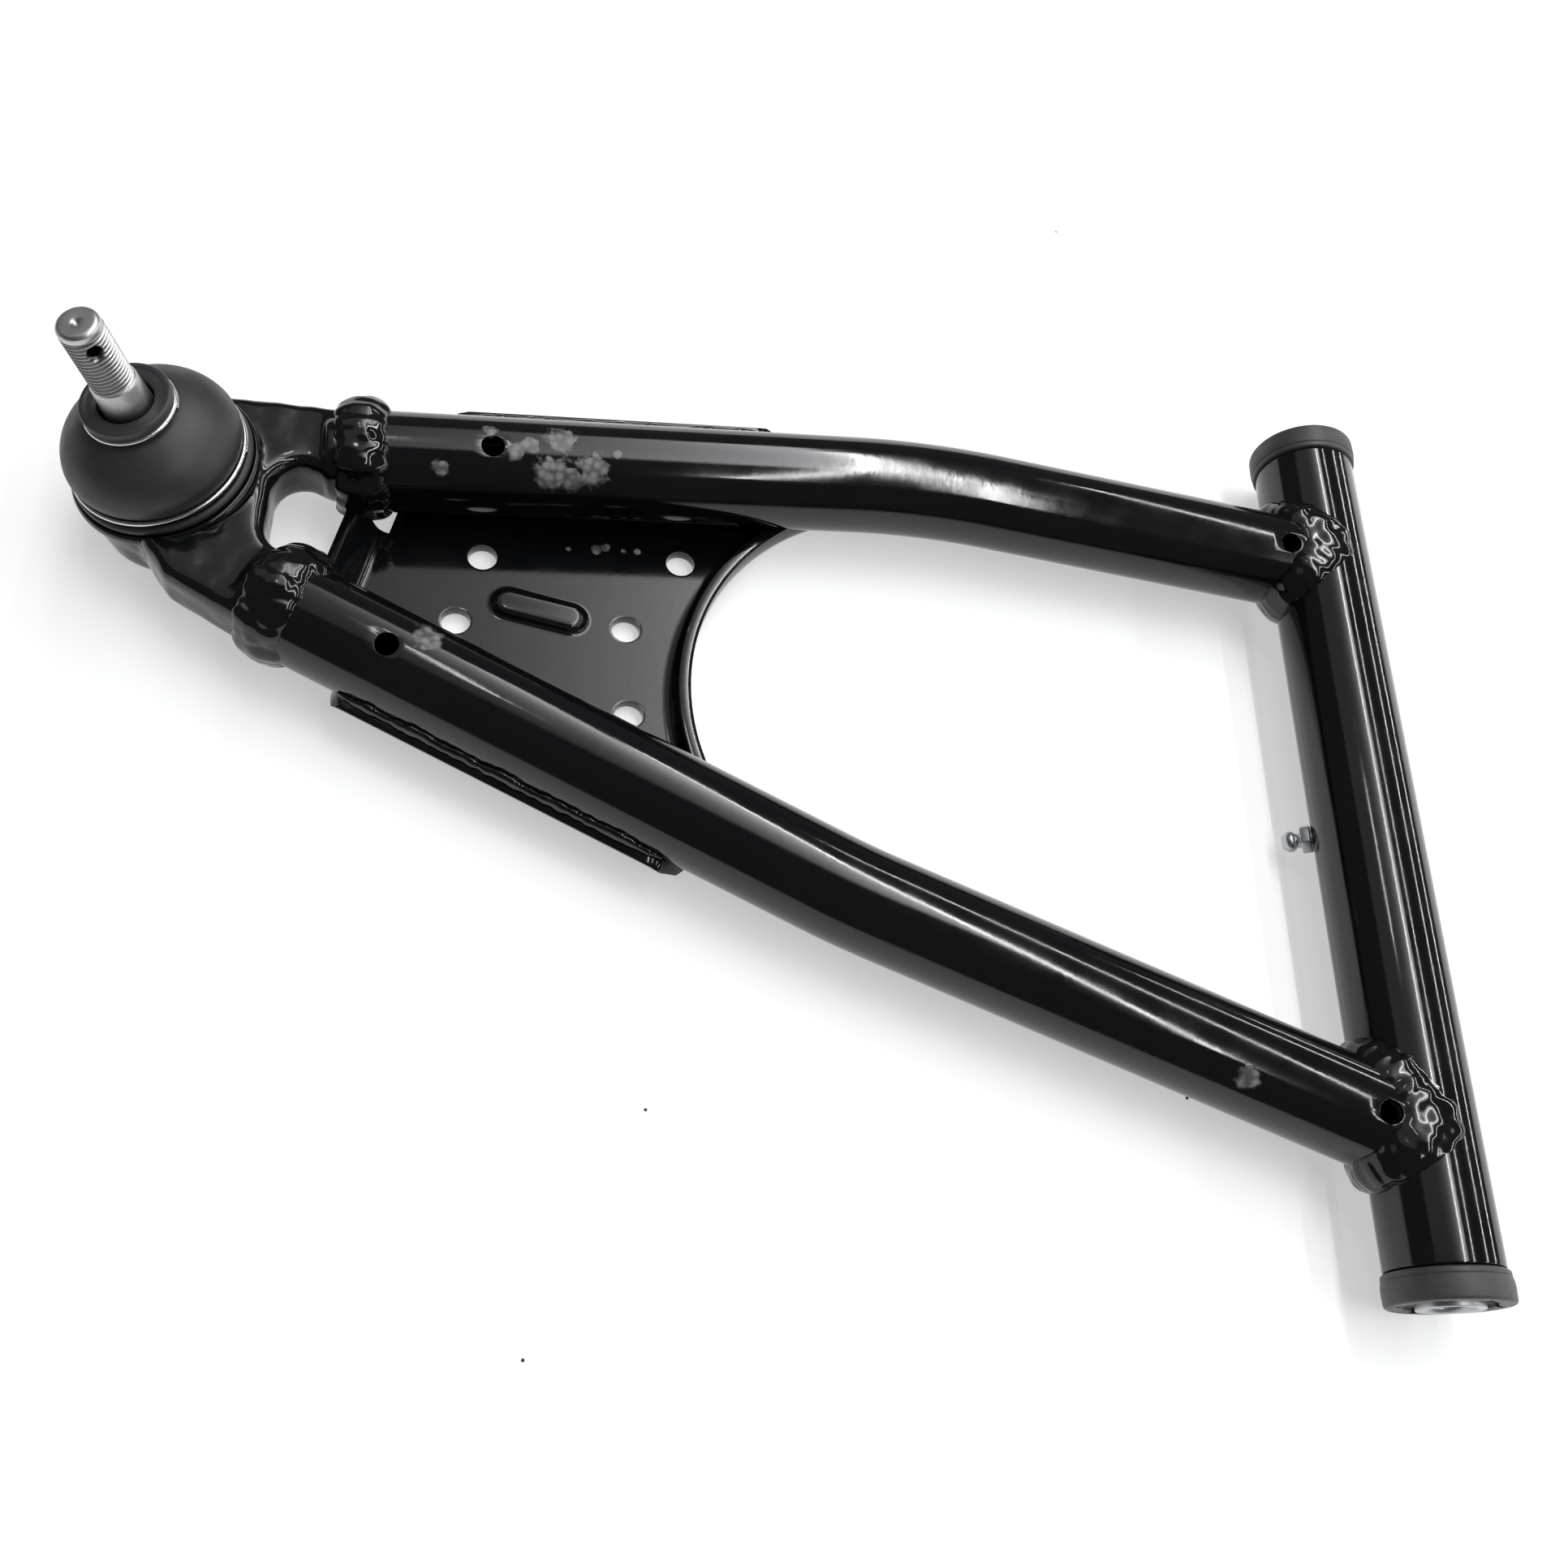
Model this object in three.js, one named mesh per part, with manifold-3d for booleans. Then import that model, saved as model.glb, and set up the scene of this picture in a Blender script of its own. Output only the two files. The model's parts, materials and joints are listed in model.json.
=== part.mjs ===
// Suspension control arm: a welded A-shaped tube frame with a ball joint at its nose and a greased
// pivot tube at its base.
//
// Millimetres. The pivot axis is the arm's own datum: it runs along Y at x = 0, z = 0, with y = 0
// halfway along the pivot tube. The ball joint lies towards -X and its stud points up, +Z. At the
// end the whole arm is moved so that the origin is under the middle of its box.

import * as THREE from 'three';
import { mergeVertices } from 'three/addons/utils/BufferGeometryUtils.js';
import Module from 'manifold-3d';

const wasm = await Module();
wasm.setup();

// ---------------------------------------------------------------- driving dimensions

const FIT_GAP = 0.3; // left between two pieces that touch
const CUT_PAST = 1; // how far a cut runs past the face that it opens

// Pivot tube, the flanged bushes in its ends and the steel sleeve that runs through them.
const PIVOT_LENGTH = 265;
const PIVOT_RADIUS = 16;
const PIVOT_WALL = 3;
const BUSH_DEPTH = 30;
const BUSH_FLANGE_RADIUS = 17.2;
const BUSH_FLANGE = 8.7;
const BUSH_CHAMFER = 0.8;
const BUSH_RECESS_DEPTH = 1.4;
const BUSH_RECESS_WIDTH = 2.8;
const SLEEVE_RADIUS = 9.2;
const SLEEVE_BORE_RADIUS = 6.1;
const SLEEVE_PROUD = 0.8;
const SLEEVE_CHAMFER = 0.8;

// Grease nipple, screwed into the pivot tube near its middle.
const NIPPLE_OFFSET = -1.3;
const NIPPLE_DROP_ANGLE = 35; // degrees below the plane of the arm
const NIPPLE_THREAD_RADIUS = 3;
const NIPPLE_HEX_ACROSS_FLATS = 8;
const NIPPLE_HEX_HEIGHT = 3;
const NIPPLE_SHOULDER = 0.8; // rise of the slope from the hexagon to the neck
const NIPPLE_NECK_RADIUS = 2.2;
const NIPPLE_HEAD_RADIUS = 3.25;
const NIPPLE_HEAD_HEIGHT = 4.4;
const NIPPLE_HEAD_BARB = 1; // rise of the slope under the head
const NIPPLE_HEAD_LAND = 1.4; // the head's straight side
const NIPPLE_HEIGHT = 8.8;
const NIPPLE_MOUTH_RADIUS = 0.9;
const NIPPLE_MOUTH_DEPTH = 1;
const NIPPLE_FACE_RADIUS = 1.8;
const NIPPLE_CHANNEL_RADIUS = 1.6;
const NIPPLE_CHANNEL_DEPTH = 7.8;
const NIPPLE_SEAT_RISE = 0.6; // of the cone that the check ball closes against
const NIPPLE_BALL_RADIUS = 1.25;
const NIPPLE_BALL_DEPTH = 2.4; // of the ball's centre, at rest

// Arm tubes. Each goes straight from the yoke to one slight bend, and straight on to the pivot tube.
const ARM_RADIUS = 15;
const ARM_WALL = 2.5;
const BEND_RADIUS = 260;
const FRONT_INSET = 38.4; // from the pivot tube's end to where the tube's axis meets it
const FRONT_BEND_X = 137;
const FRONT_BEND_RISE = 13.6; // past the place where the tube meets the pivot tube
const FRONT_NOSE = { x: 53.5, y: 13.7 }; // where the tube ends, from the ball's centre
const REAR_INSET = 36.3;
const REAR_BEND_X = 163;
const REAR_BEND_RISE = 60.7;
const REAR_NOSE = { x: 37.8, y: -40.6 };
const DRAIN_RADIUS = 3.3;
const DRAIN_LEAN = 12; // degrees off the top of the tube, towards the rear
const FRONT_DRAIN_FROM_NOSE = 36.5;
const REAR_DRAIN_FROM_NOSE = 32;
const DRAIN_FROM_PIVOT = 18;

// Ball joint. Heights are along its own axis from the ball's centre.
const BALL_REACH = 363; // from the pivot axis
const BALL_OFFSET = 79.3; // from the pivot tube's middle
const BALL_TILT = 13; // degrees, stud leaning away from the pivot
const BALL_RADIUS = 11;
const BALL_FLAT_HEIGHT = -9.6;
const NECK_RADIUS = 6;
const SHANK_COLLAR_RISE = 4; // slope from the neck out to the taper
const TAPER_START_HEIGHT = 18;
const TAPER_START_RADIUS = 7.8;
const TAPER_END_RADIUS = 6.4;
const THREAD_START_HEIGHT = 42;
const THREAD_RADIUS = 6;
const THREAD_RUN_IN = 1;
const STUD_TIP_HEIGHT = 64;
const STUD_TIP_CHAMFER = 1;
const COTTER_HEIGHT = 56.5;
const COTTER_RADIUS = 1.8;

// Forged yoke: the ball joint's housing with two short arms that plug into the tubes.
const HOUSING_RADIUS = 25.5;
const HOUSING_BOTTOM_RADIUS = 23;
const HOUSING_BOTTOM_HEIGHT = -15.5;
const HOUSING_BOTTOM_RISE = 4; // of the slope round the housing's foot
const RIM_RADIUS = 27.2;
const RIM_LOW_HEIGHT = 3;
const RIM_CHAMFER = 1;
const RIM_TOP_HEIGHT = 7;
const SPIGOT_RADIUS = 24;
const SPIGOT_TOP_HEIGHT = 9;
const CAVITY_RADIUS = 15;
const CAVITY_TOP_HEIGHT = 7;
const MOUTH_RADIUS = 13.2;
const MOUTH_FLARE = 1.8;
const CURL_RADIUS = 12.5;
const CURL_HEIGHT = 1.2;
const WEB_HALF_THICKNESS = 9;
const WEB_CHAMFER = 2;
const WEB_ROOT_RADIUS = 21; // of the web's end, hidden in the housing
const WEB_END_HALF_WIDTH = 13.2; // of each short arm, beside its weld
const REAR_HEEL = { x: 4, y: -37.5 }; // where the rear arm's outer side starts, from the ball's centre
const STUB_LENGTH = 12;
const STUB_ROOT = 12; // how far the round part reaches back into the web
const STUB_CHAMFER = 1;
const WINDOW_LEFT = 28.5; // the D-shaped gap behind the housing, from the ball's centre
const WINDOW_TOP = 4.5;
const WINDOW_BOTTOM = -26;
const WINDOW_CORNER = 9;

// Pieces inside the housing.
const SEAT_OPENING_ANGLE = 66; // degrees from the stud's axis to the edge of the upper seat
const COVER_THICKNESS = 1.7;
const PRELOAD_THICKNESS = 1.2;
const PRELOAD_INNER_RADIUS = 8;
const LOWER_SEAT_MOUTH_RADIUS = 5;

// Dust boot with its wire rings and the stiff collar round the stud.
const BOOT_WALL = 2.2;
const BOOT_BULGE_RADIUS = 25.3;
const BOOT_BULGE_HEIGHT = 16.5;
const BOOT_TOP_HEIGHT = 31.2;
const BOOT_HEM = 0.8; // how far the boot draws in above its base ring
const BOOT_DOME_PULL = { radius: 23.5, height: 25 }; // the point that its dome bends towards
const COLLAR_RADIUS = 12.8;
const COLLAR_HEIGHT = 3.4;
const COLLAR_EDGE = 0.6;
const COLLAR_CLEARANCE = 1;
const WIRE_RADIUS = 0.7;
const WIRE_PROUD = 0.2; // how far the upper ring stands out past the collar
const BASE_RING_HEIGHT = 11.2;
const ANCHOR_BAND_WIDTH = 1.6;

// Pressed gusset plate under the tubes.
const PLATE_THICKNESS = 3.5;
const PLATE_START = 57; // from the ball's centre to the flange at its nose end
const NOSE_FLANGE_HEIGHT = 12;
const NOSE_FLANGE_LEAN = 24; // degrees towards the ball joint
const NOSE_FLANGE_SKEW = 12; // degrees, front end nearer the pivot
const ARC_RADIUS = 72;
const ARC_CENTRE = { x: 225.5, y: -46.8 }; // of the hollowed end, from the ball's centre
const ARC_FLANGE_HEIGHT = 9;
const FRONT_LIP = { start: 20.5, length: 110, top: 8 }; // along the tube; top is in degrees round it
const REAR_LIP = { start: 19.5, length: 112, top: 0 };
const PLATE_HOLE_RADIUS = 4.5;
const PLATE_HOLES = [
  { x: 89, y: -6 },
  { x: 83, y: -29.5 },
  { x: 150, y: -0.5 },
  { x: 134, y: -26.5 },
  { x: 136.2, y: -55.8 },
];
const RIB_ROOT = 0.5; // how far the rib's solid is sunk into the plate
const RIB = { x: 107.5, y: -23.4, length: 29.5, width: 10.5, height: 2.4, angle: -7 };

// Weld beads.
const BEAD_HALF_WIDTH = 6;
const BEAD_THICKNESS = 2.8;
const SADDLE_REACH = 4.5;
const SADDLE_CROWN = 1.5; // how far each saddle bead stops from the pivot tube's crown
const LIP_BEAD_ANGLE = 11; // degrees round the tube
const LIP_BEAD_THICKNESS = 2.4;
const LIP_BEAD_INSET = 6; // from each end of the lip

// Facets round a full turn.
const PIVOT_SIDES = 36;
const TUBE_SIDES = 28;
const SMALL_SIDES = 20;
const CHECK_BALL_SIDES = 12;
const WIRE_SIDES = 6;
const BEAD_STEPS = 4; // across a bead
const ARC_STEPS = 6; // along a rounded profile
const STRIP_STEP = 10; // degrees round a lip
const TUBE_STEPS = 9;

// ---------------------------------------------------------------- places worked out from them

const halfPivot = PIVOT_LENGTH / 2;
const ball = new THREE.Vector3(-BALL_REACH, BALL_OFFSET, 0);
const frontRoute = [
  new THREE.Vector3(ball.x + FRONT_NOSE.x, ball.y + FRONT_NOSE.y, 0),
  new THREE.Vector3(-FRONT_BEND_X, halfPivot - FRONT_INSET + FRONT_BEND_RISE, 0),
  new THREE.Vector3(0, halfPivot - FRONT_INSET, 0),
];
const rearRoute = [
  new THREE.Vector3(ball.x + REAR_NOSE.x, ball.y + REAR_NOSE.y, 0),
  new THREE.Vector3(-REAR_BEND_X, REAR_INSET - halfPivot + REAR_BEND_RISE, 0),
  new THREE.Vector3(0, REAR_INSET - halfPivot, 0),
];
const plateTop = -(ARM_RADIUS + FIT_GAP);
const plateBottom = plateTop - PLATE_THICKNESS;
const UP = new THREE.Vector3(0, 0, 1);
const radians = THREE.MathUtils.degToRad;

// The ball joint's own frame: Z along its stud, Y as the arm's.
const jointFrame = new THREE.Matrix4()
  .makeRotationY(-radians(BALL_TILT))
  .setPosition(ball);

// The grease nipple's own frame: Z outwards along it, from the pivot tube's axis.
const nippleSeat = PIVOT_RADIUS + FIT_GAP;
const nippleTip = nippleSeat + NIPPLE_HEIGHT;
const nippleFrame = new THREE.Matrix4()
  .makeRotationY(-radians(90 + NIPPLE_DROP_ANGLE))
  .setPosition(0, NIPPLE_OFFSET, 0);

// ---------------------------------------------------------------- solids from three.js geometry

// Joins shared corners and drops the slivers that this leaves at a turned shape's poles.
function closed(geometry) {
  const bare = geometry.clone();
  bare.deleteAttribute('normal');
  bare.deleteAttribute('uv');
  const merged = mergeVertices(bare, 1e-4);
  const corners = merged.index.array;
  const kept = [];
  for (let i = 0; i < corners.length; i += 3) {
    const [a, b, c] = [corners[i], corners[i + 1], corners[i + 2]];
    if (a !== b && b !== c && c !== a) kept.push(a, b, c);
  }
  return { vertProperties: merged.attributes.position.array, triVerts: new Uint32Array(kept) };
}

function solid(geometry, frame = new THREE.Matrix4()) {
  const { vertProperties, triVerts } = closed(geometry.clone().applyMatrix4(frame));
  return new wasm.Manifold(new wasm.Mesh({ numProp: 3, vertProperties, triVerts }));
}

function geometryOf(made) {
  const { vertProperties, triVerts } = made.getMesh();
  const geometry = new THREE.BufferGeometry();
  geometry.setAttribute('position', new THREE.BufferAttribute(new Float32Array(vertProperties), 3));
  geometry.setIndex(new THREE.BufferAttribute(new Uint32Array(triVerts), 1));
  geometry.computeVertexNormals();
  return geometry;
}

// A profile of [radius, height] pairs, listed from low to high on the outside, turned about Z.
// One that doesn't start and end on the axis is closed on itself.
function turned(profile, sides = TUBE_SIDES, frame = new THREE.Matrix4()) {
  const points = profile.map(([radius, height]) => new THREE.Vector2(radius, height));
  const onAxis = profile[0][0] === 0 && profile.at(-1)[0] === 0;
  if (!onAxis) points.push(points[0].clone());
  const geometry = new THREE.LatheGeometry(points, sides).rotateX(Math.PI / 2);
  return solid(geometry, frame);
}

// A round bar between two points.
function bar(from, to, radius, sides = TUBE_SIDES) {
  const along = to.clone().sub(from);
  const geometry = new THREE.CylinderGeometry(radius, radius, along.length(), sides);
  const turn = new THREE.Quaternion()
    .setFromUnitVectors(new THREE.Vector3(0, 1, 0), along.clone().normalize());
  const middle = from.clone().lerp(to, 0.5);
  return solid(geometry, new THREE.Matrix4().compose(middle, turn, new THREE.Vector3(1, 1, 1)));
}

// A flat outline in the plane of the arm, from one height to another, with its edges chamfered
// inwards where a chamfer is given.
function slab(shape, low, high, sides = TUBE_SIDES, chamfer = 0) {
  const geometry = new THREE.ExtrudeGeometry(shape, {
    depth: high - low - 2 * chamfer,
    bevelEnabled: chamfer > 0,
    bevelThickness: chamfer,
    bevelSize: chamfer,
    bevelOffset: -chamfer,
    bevelSegments: 1,
    curveSegments: sides / 2,
  });
  return solid(geometry, new THREE.Matrix4().makeTranslation(0, 0, low + chamfer));
}

// The line from a route's start, through a bend, to its end.
function bentLine([start, corner, end]) {
  const into = corner.clone().sub(start).normalize();
  const out = end.clone().sub(corner).normalize();
  const reach = BEND_RADIUS * Math.tan(into.angleTo(out) / 2);
  const enter = corner.clone().addScaledVector(into, -reach);
  const leave = corner.clone().addScaledVector(out, reach);
  const path = new THREE.CurvePath();
  path.add(new THREE.LineCurve3(start, enter));
  path.add(new THREE.QuadraticBezierCurve3(enter, corner, leave));
  path.add(new THREE.LineCurve3(leave, end));
  return path;
}

function bentTube(route) {
  const section = new THREE.Shape().absarc(0, 0, ARM_RADIUS, 0, 2 * Math.PI, false);
  section.holes.push(new THREE.Path().absarc(0, 0, ARM_RADIUS - ARM_WALL, 0, 2 * Math.PI, true));
  return solid(new THREE.ExtrudeGeometry(section, {
    steps: TUBE_STEPS,
    curveSegments: TUBE_SIDES / 2,
    bevelEnabled: false,
    extrudePath: bentLine(route),
  }));
}

function noseDirection(route) {
  return route[1].clone().sub(route[0]).normalize();
}

// A frame at a tube's nose end, with Z along the tube.
function noseFrame(route) {
  const along = noseDirection(route);
  const across = new THREE.Vector3().crossVectors(UP, along);
  const upward = new THREE.Vector3().crossVectors(along, across);
  return new THREE.Matrix4().makeBasis(across, upward, along).setPosition(route[0]);
}

// The room that each tube and its nose bead take up, with the fit gap round it, for cutting its
// neighbours.
function tubeRoom(route) {
  const along = noseDirection(route);
  const reach = BEAD_HALF_WIDTH + FIT_GAP;
  const before = route[0].clone().addScaledVector(along, -reach);
  const after = route[0].clone().addScaledVector(along, reach);
  const bead = bar(before, after, ARM_RADIUS + BEAD_THICKNESS + 2 * FIT_GAP);
  return bar(before, route[1], ARM_RADIUS + FIT_GAP).add(bead);
}

function pivotRoom(extra = FIT_GAP) {
  return bar(
    new THREE.Vector3(0, -halfPivot, 0),
    new THREE.Vector3(0, halfPivot, 0),
    PIVOT_RADIUS + extra,
    PIVOT_SIDES,
  );
}

// ---------------------------------------------------------------- finishes

const finish = (color, roughness, metalness) =>
  new THREE.MeshStandardMaterial({ color, roughness, metalness });

const glossBlack = finish(0x0c0c0f, 0.12, 0.1);
const bushPlastic = finish(0x47474b, 0.55, 0);
const zincSteel = finish(0xb9bec2, 0.32, 1);
const machinedSteel = finish(0x9a9b9d, 0.3, 1);
const bootRubber = finish(0x1d1e20, 0.6, 0);
const springWire = finish(0xc4c7ca, 0.22, 1);
const seatPlastic = finish(0xd9d6c8, 0.5, 0);
const preloadRubber = finish(0x2a2826, 0.8, 0);

const arm = new THREE.Group();

function add(name, made, material) {
  const mesh = new THREE.Mesh(geometryOf(made), material);
  mesh.name = name;
  arm.add(mesh);
}

// ---------------------------------------------------------------- pivot tube and its fittings

const pivotFrame = new THREE.Matrix4().makeRotationX(-Math.PI / 2); // Z of a turned shape to Y

function pivotTube() {
  const inner = PIVOT_RADIUS - PIVOT_WALL;
  const pipe = turned([
    [inner, -halfPivot],
    [PIVOT_RADIUS, -halfPivot],
    [PIVOT_RADIUS, halfPivot],
    [inner, halfPivot],
  ], PIVOT_SIDES, pivotFrame);
  const nippleHole = turned([
    [0, inner - PIVOT_WALL],
    [NIPPLE_THREAD_RADIUS + FIT_GAP, inner - PIVOT_WALL],
    [NIPPLE_THREAD_RADIUS + FIT_GAP, PIVOT_RADIUS + PIVOT_WALL],
    [0, PIVOT_RADIUS + PIVOT_WALL],
  ], SMALL_SIDES, nippleFrame);
  return pipe.subtract(nippleHole);
}

// Side is +1 for the front end and -1 for the rear one.
function bush(side) {
  const bore = SLEEVE_RADIUS + FIT_GAP;
  const body = PIVOT_RADIUS - PIVOT_WALL - FIT_GAP;
  const seat = halfPivot + FIT_GAP;
  const face = seat + BUSH_FLANGE;
  const profile = [
    [bore, halfPivot - BUSH_DEPTH],
    [body, halfPivot - BUSH_DEPTH],
    [body, seat],
    [BUSH_FLANGE_RADIUS, seat],
    [BUSH_FLANGE_RADIUS, face - BUSH_CHAMFER],
    [BUSH_FLANGE_RADIUS - BUSH_CHAMFER, face],
    [bore + BUSH_RECESS_WIDTH, face],
    [bore + BUSH_RECESS_WIDTH, face - BUSH_RECESS_DEPTH],
    [bore, face - BUSH_RECESS_DEPTH],
  ];
  const frame = new THREE.Matrix4().makeRotationX(-side * Math.PI / 2);
  return turned(profile, PIVOT_SIDES, frame);
}

function pivotSleeve() {
  const end = halfPivot + FIT_GAP + BUSH_FLANGE + SLEEVE_PROUD;
  return turned([
    [SLEEVE_BORE_RADIUS, -end + SLEEVE_CHAMFER],
    [SLEEVE_BORE_RADIUS + SLEEVE_CHAMFER, -end],
    [SLEEVE_RADIUS, -end],
    [SLEEVE_RADIUS, end],
    [SLEEVE_BORE_RADIUS + SLEEVE_CHAMFER, end],
    [SLEEVE_BORE_RADIUS, end - SLEEVE_CHAMFER],
  ], TUBE_SIDES, pivotFrame);
}

function greaseNipple() {
  const inside = PIVOT_RADIUS - PIVOT_WALL;
  const hexTop = nippleSeat + NIPPLE_HEX_HEIGHT;
  const headLow = nippleTip - NIPPLE_HEAD_HEIGHT;
  const body = turned([
    [NIPPLE_MOUTH_RADIUS, inside],
    [NIPPLE_THREAD_RADIUS, inside],
    [NIPPLE_THREAD_RADIUS, hexTop],
    [NIPPLE_NECK_RADIUS, hexTop + NIPPLE_SHOULDER],
    [NIPPLE_NECK_RADIUS, headLow],
    [NIPPLE_HEAD_RADIUS, headLow + NIPPLE_HEAD_BARB],
    [NIPPLE_HEAD_RADIUS, headLow + NIPPLE_HEAD_BARB + NIPPLE_HEAD_LAND],
    [NIPPLE_FACE_RADIUS, nippleTip],
    [NIPPLE_MOUTH_RADIUS, nippleTip],
  ], SMALL_SIDES, nippleFrame);
  const hexRadius = NIPPLE_HEX_ACROSS_FLATS / 2 / Math.cos(Math.PI / 6);
  const hex = turned([
    [NIPPLE_MOUTH_RADIUS, nippleSeat],
    [hexRadius, nippleSeat],
    [hexRadius, hexTop],
    [NIPPLE_MOUTH_RADIUS, hexTop],
  ], 6, nippleFrame);
  const seatTop = nippleTip - NIPPLE_MOUTH_DEPTH;
  const channel = turned([
    [0, nippleTip - NIPPLE_CHANNEL_DEPTH],
    [NIPPLE_CHANNEL_RADIUS, nippleTip - NIPPLE_CHANNEL_DEPTH],
    [NIPPLE_CHANNEL_RADIUS, seatTop - NIPPLE_SEAT_RISE],
    [NIPPLE_MOUTH_RADIUS, seatTop],
    [0, seatTop],
  ], SMALL_SIDES, nippleFrame);
  return body.add(hex).subtract(channel);
}

function nippleBall() {
  const place = new THREE.Matrix4().makeTranslation(0, 0, nippleTip - NIPPLE_BALL_DEPTH);
  const sphere = new THREE.SphereGeometry(NIPPLE_BALL_RADIUS, CHECK_BALL_SIDES, CHECK_BALL_SIDES / 2);
  return solid(sphere, nippleFrame.clone().multiply(place));
}

// ---------------------------------------------------------------- arm tubes and their welds

// A hole through the upper wall, at a distance from one end of a straight leg.
function drain(end, towards, distance) {
  const along = towards.clone().sub(end).normalize();
  const lean = radians(DRAIN_LEAN);
  const outward = new THREE.Vector3(0, -Math.sin(lean), Math.cos(lean));
  const place = end.clone().addScaledVector(along, distance);
  const past = place.clone().addScaledVector(outward, ARM_RADIUS + CUT_PAST);
  return bar(place, past, DRAIN_RADIUS, SMALL_SIDES);
}

function armTube(route, noseDrainDistance) {
  return bentTube(route)
    .subtract(pivotRoom())
    .subtract(drain(route[0], route[1], noseDrainDistance))
    .subtract(drain(route[2], route[1], DRAIN_FROM_PIVOT));
}

// A bead round the saddle where an arm tube meets the pivot tube.
function saddleBead(route) {
  const back = route[1].clone().sub(route[2]).normalize();
  const from = route[2].clone().addScaledVector(back, SADDLE_CROWN);
  const to = route[2].clone().addScaledVector(back, PIVOT_RADIUS * 2);
  const outside = bar(from, to, ARM_RADIUS + BEAD_THICKNESS + FIT_GAP);
  const inside = bar(from.clone().addScaledVector(back, -CUT_PAST), to, ARM_RADIUS + FIT_GAP);
  return outside
    .intersect(pivotRoom(SADDLE_REACH + FIT_GAP))
    .subtract(pivotRoom())
    .subtract(inside);
}

const plugRadius = ARM_RADIUS - ARM_WALL - FIT_GAP; // of the yoke's arms, inside the tubes

// A bead round a tube's nose end, which also fills the groove between that end and the yoke.
function noseBead(route) {
  const inner = ARM_RADIUS + FIT_GAP;
  const section = Array.from({ length: BEAD_STEPS + 1 }, (_, i) => {
    const angle = Math.PI * i / BEAD_STEPS;
    return [inner + BEAD_THICKNESS * Math.sin(angle), -BEAD_HALF_WIDTH * Math.cos(angle)];
  });
  return turned([
    [plugRadius + FIT_GAP, -BEAD_HALF_WIDTH],
    ...section,
    [inner, -FIT_GAP],
    [plugRadius + FIT_GAP, -FIT_GAP],
  ], TUBE_SIDES, noseFrame(route));
}

// ---------------------------------------------------------------- yoke and ball joint

function yokeWeb() {
  const front = noseDirection(frontRoute);
  const rear = noseDirection(rearRoute);
  const setBack = BEAD_HALF_WIDTH + FIT_GAP;
  const corner = (nose, along, side) => new THREE.Vector2(
    nose.x - along.x * setBack - along.y * side * WEB_END_HALF_WIDTH,
    nose.y - along.y * setBack + along.x * side * WEB_END_HALF_WIDTH,
  );
  const frontOuter = corner(FRONT_NOSE, front, 1);
  const frontInner = corner(FRONT_NOSE, front, -1);
  const rearInner = corner(REAR_NOSE, rear, 1);
  const rearOuter = corner(REAR_NOSE, rear, -1);
  const windowCentreX = WINDOW_LEFT + WINDOW_CORNER;
  const windowLowY = WINDOW_BOTTOM + WINDOW_CORNER;
  const windowHighY = WINDOW_TOP - WINDOW_CORNER;
  const shape = new THREE.Shape();
  shape.moveTo(0, HOUSING_RADIUS);
  shape.absarc(0, 0, WEB_ROOT_RADIUS, Math.PI * 2 / 3, Math.PI * 4 / 3, false);
  shape.lineTo(REAR_HEEL.x, REAR_HEEL.y);
  shape.lineTo(rearOuter.x, rearOuter.y);
  shape.lineTo(rearInner.x, rearInner.y);
  shape.absarc(windowCentreX, windowLowY, WINDOW_CORNER, Math.PI * 4 / 3, Math.PI, true);
  shape.absarc(windowCentreX, windowHighY, WINDOW_CORNER, Math.PI, Math.PI / 2, true);
  shape.lineTo(frontInner.x, frontInner.y);
  shape.lineTo(frontOuter.x, frontOuter.y);
  shape.closePath();
  const made = slab(shape, -WEB_HALF_THICKNESS, WEB_HALF_THICKNESS, SMALL_SIDES / 2, WEB_CHAMFER);
  return made.translate(ball.x, ball.y, 0);
}

function yokeStub(route) {
  return turned([
    [0, -STUB_ROOT],
    [plugRadius, -STUB_ROOT],
    [plugRadius, STUB_LENGTH - STUB_CHAMFER],
    [plugRadius - STUB_CHAMFER, STUB_LENGTH],
    [0, STUB_LENGTH],
  ], TUBE_SIDES, noseFrame(route));
}

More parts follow.
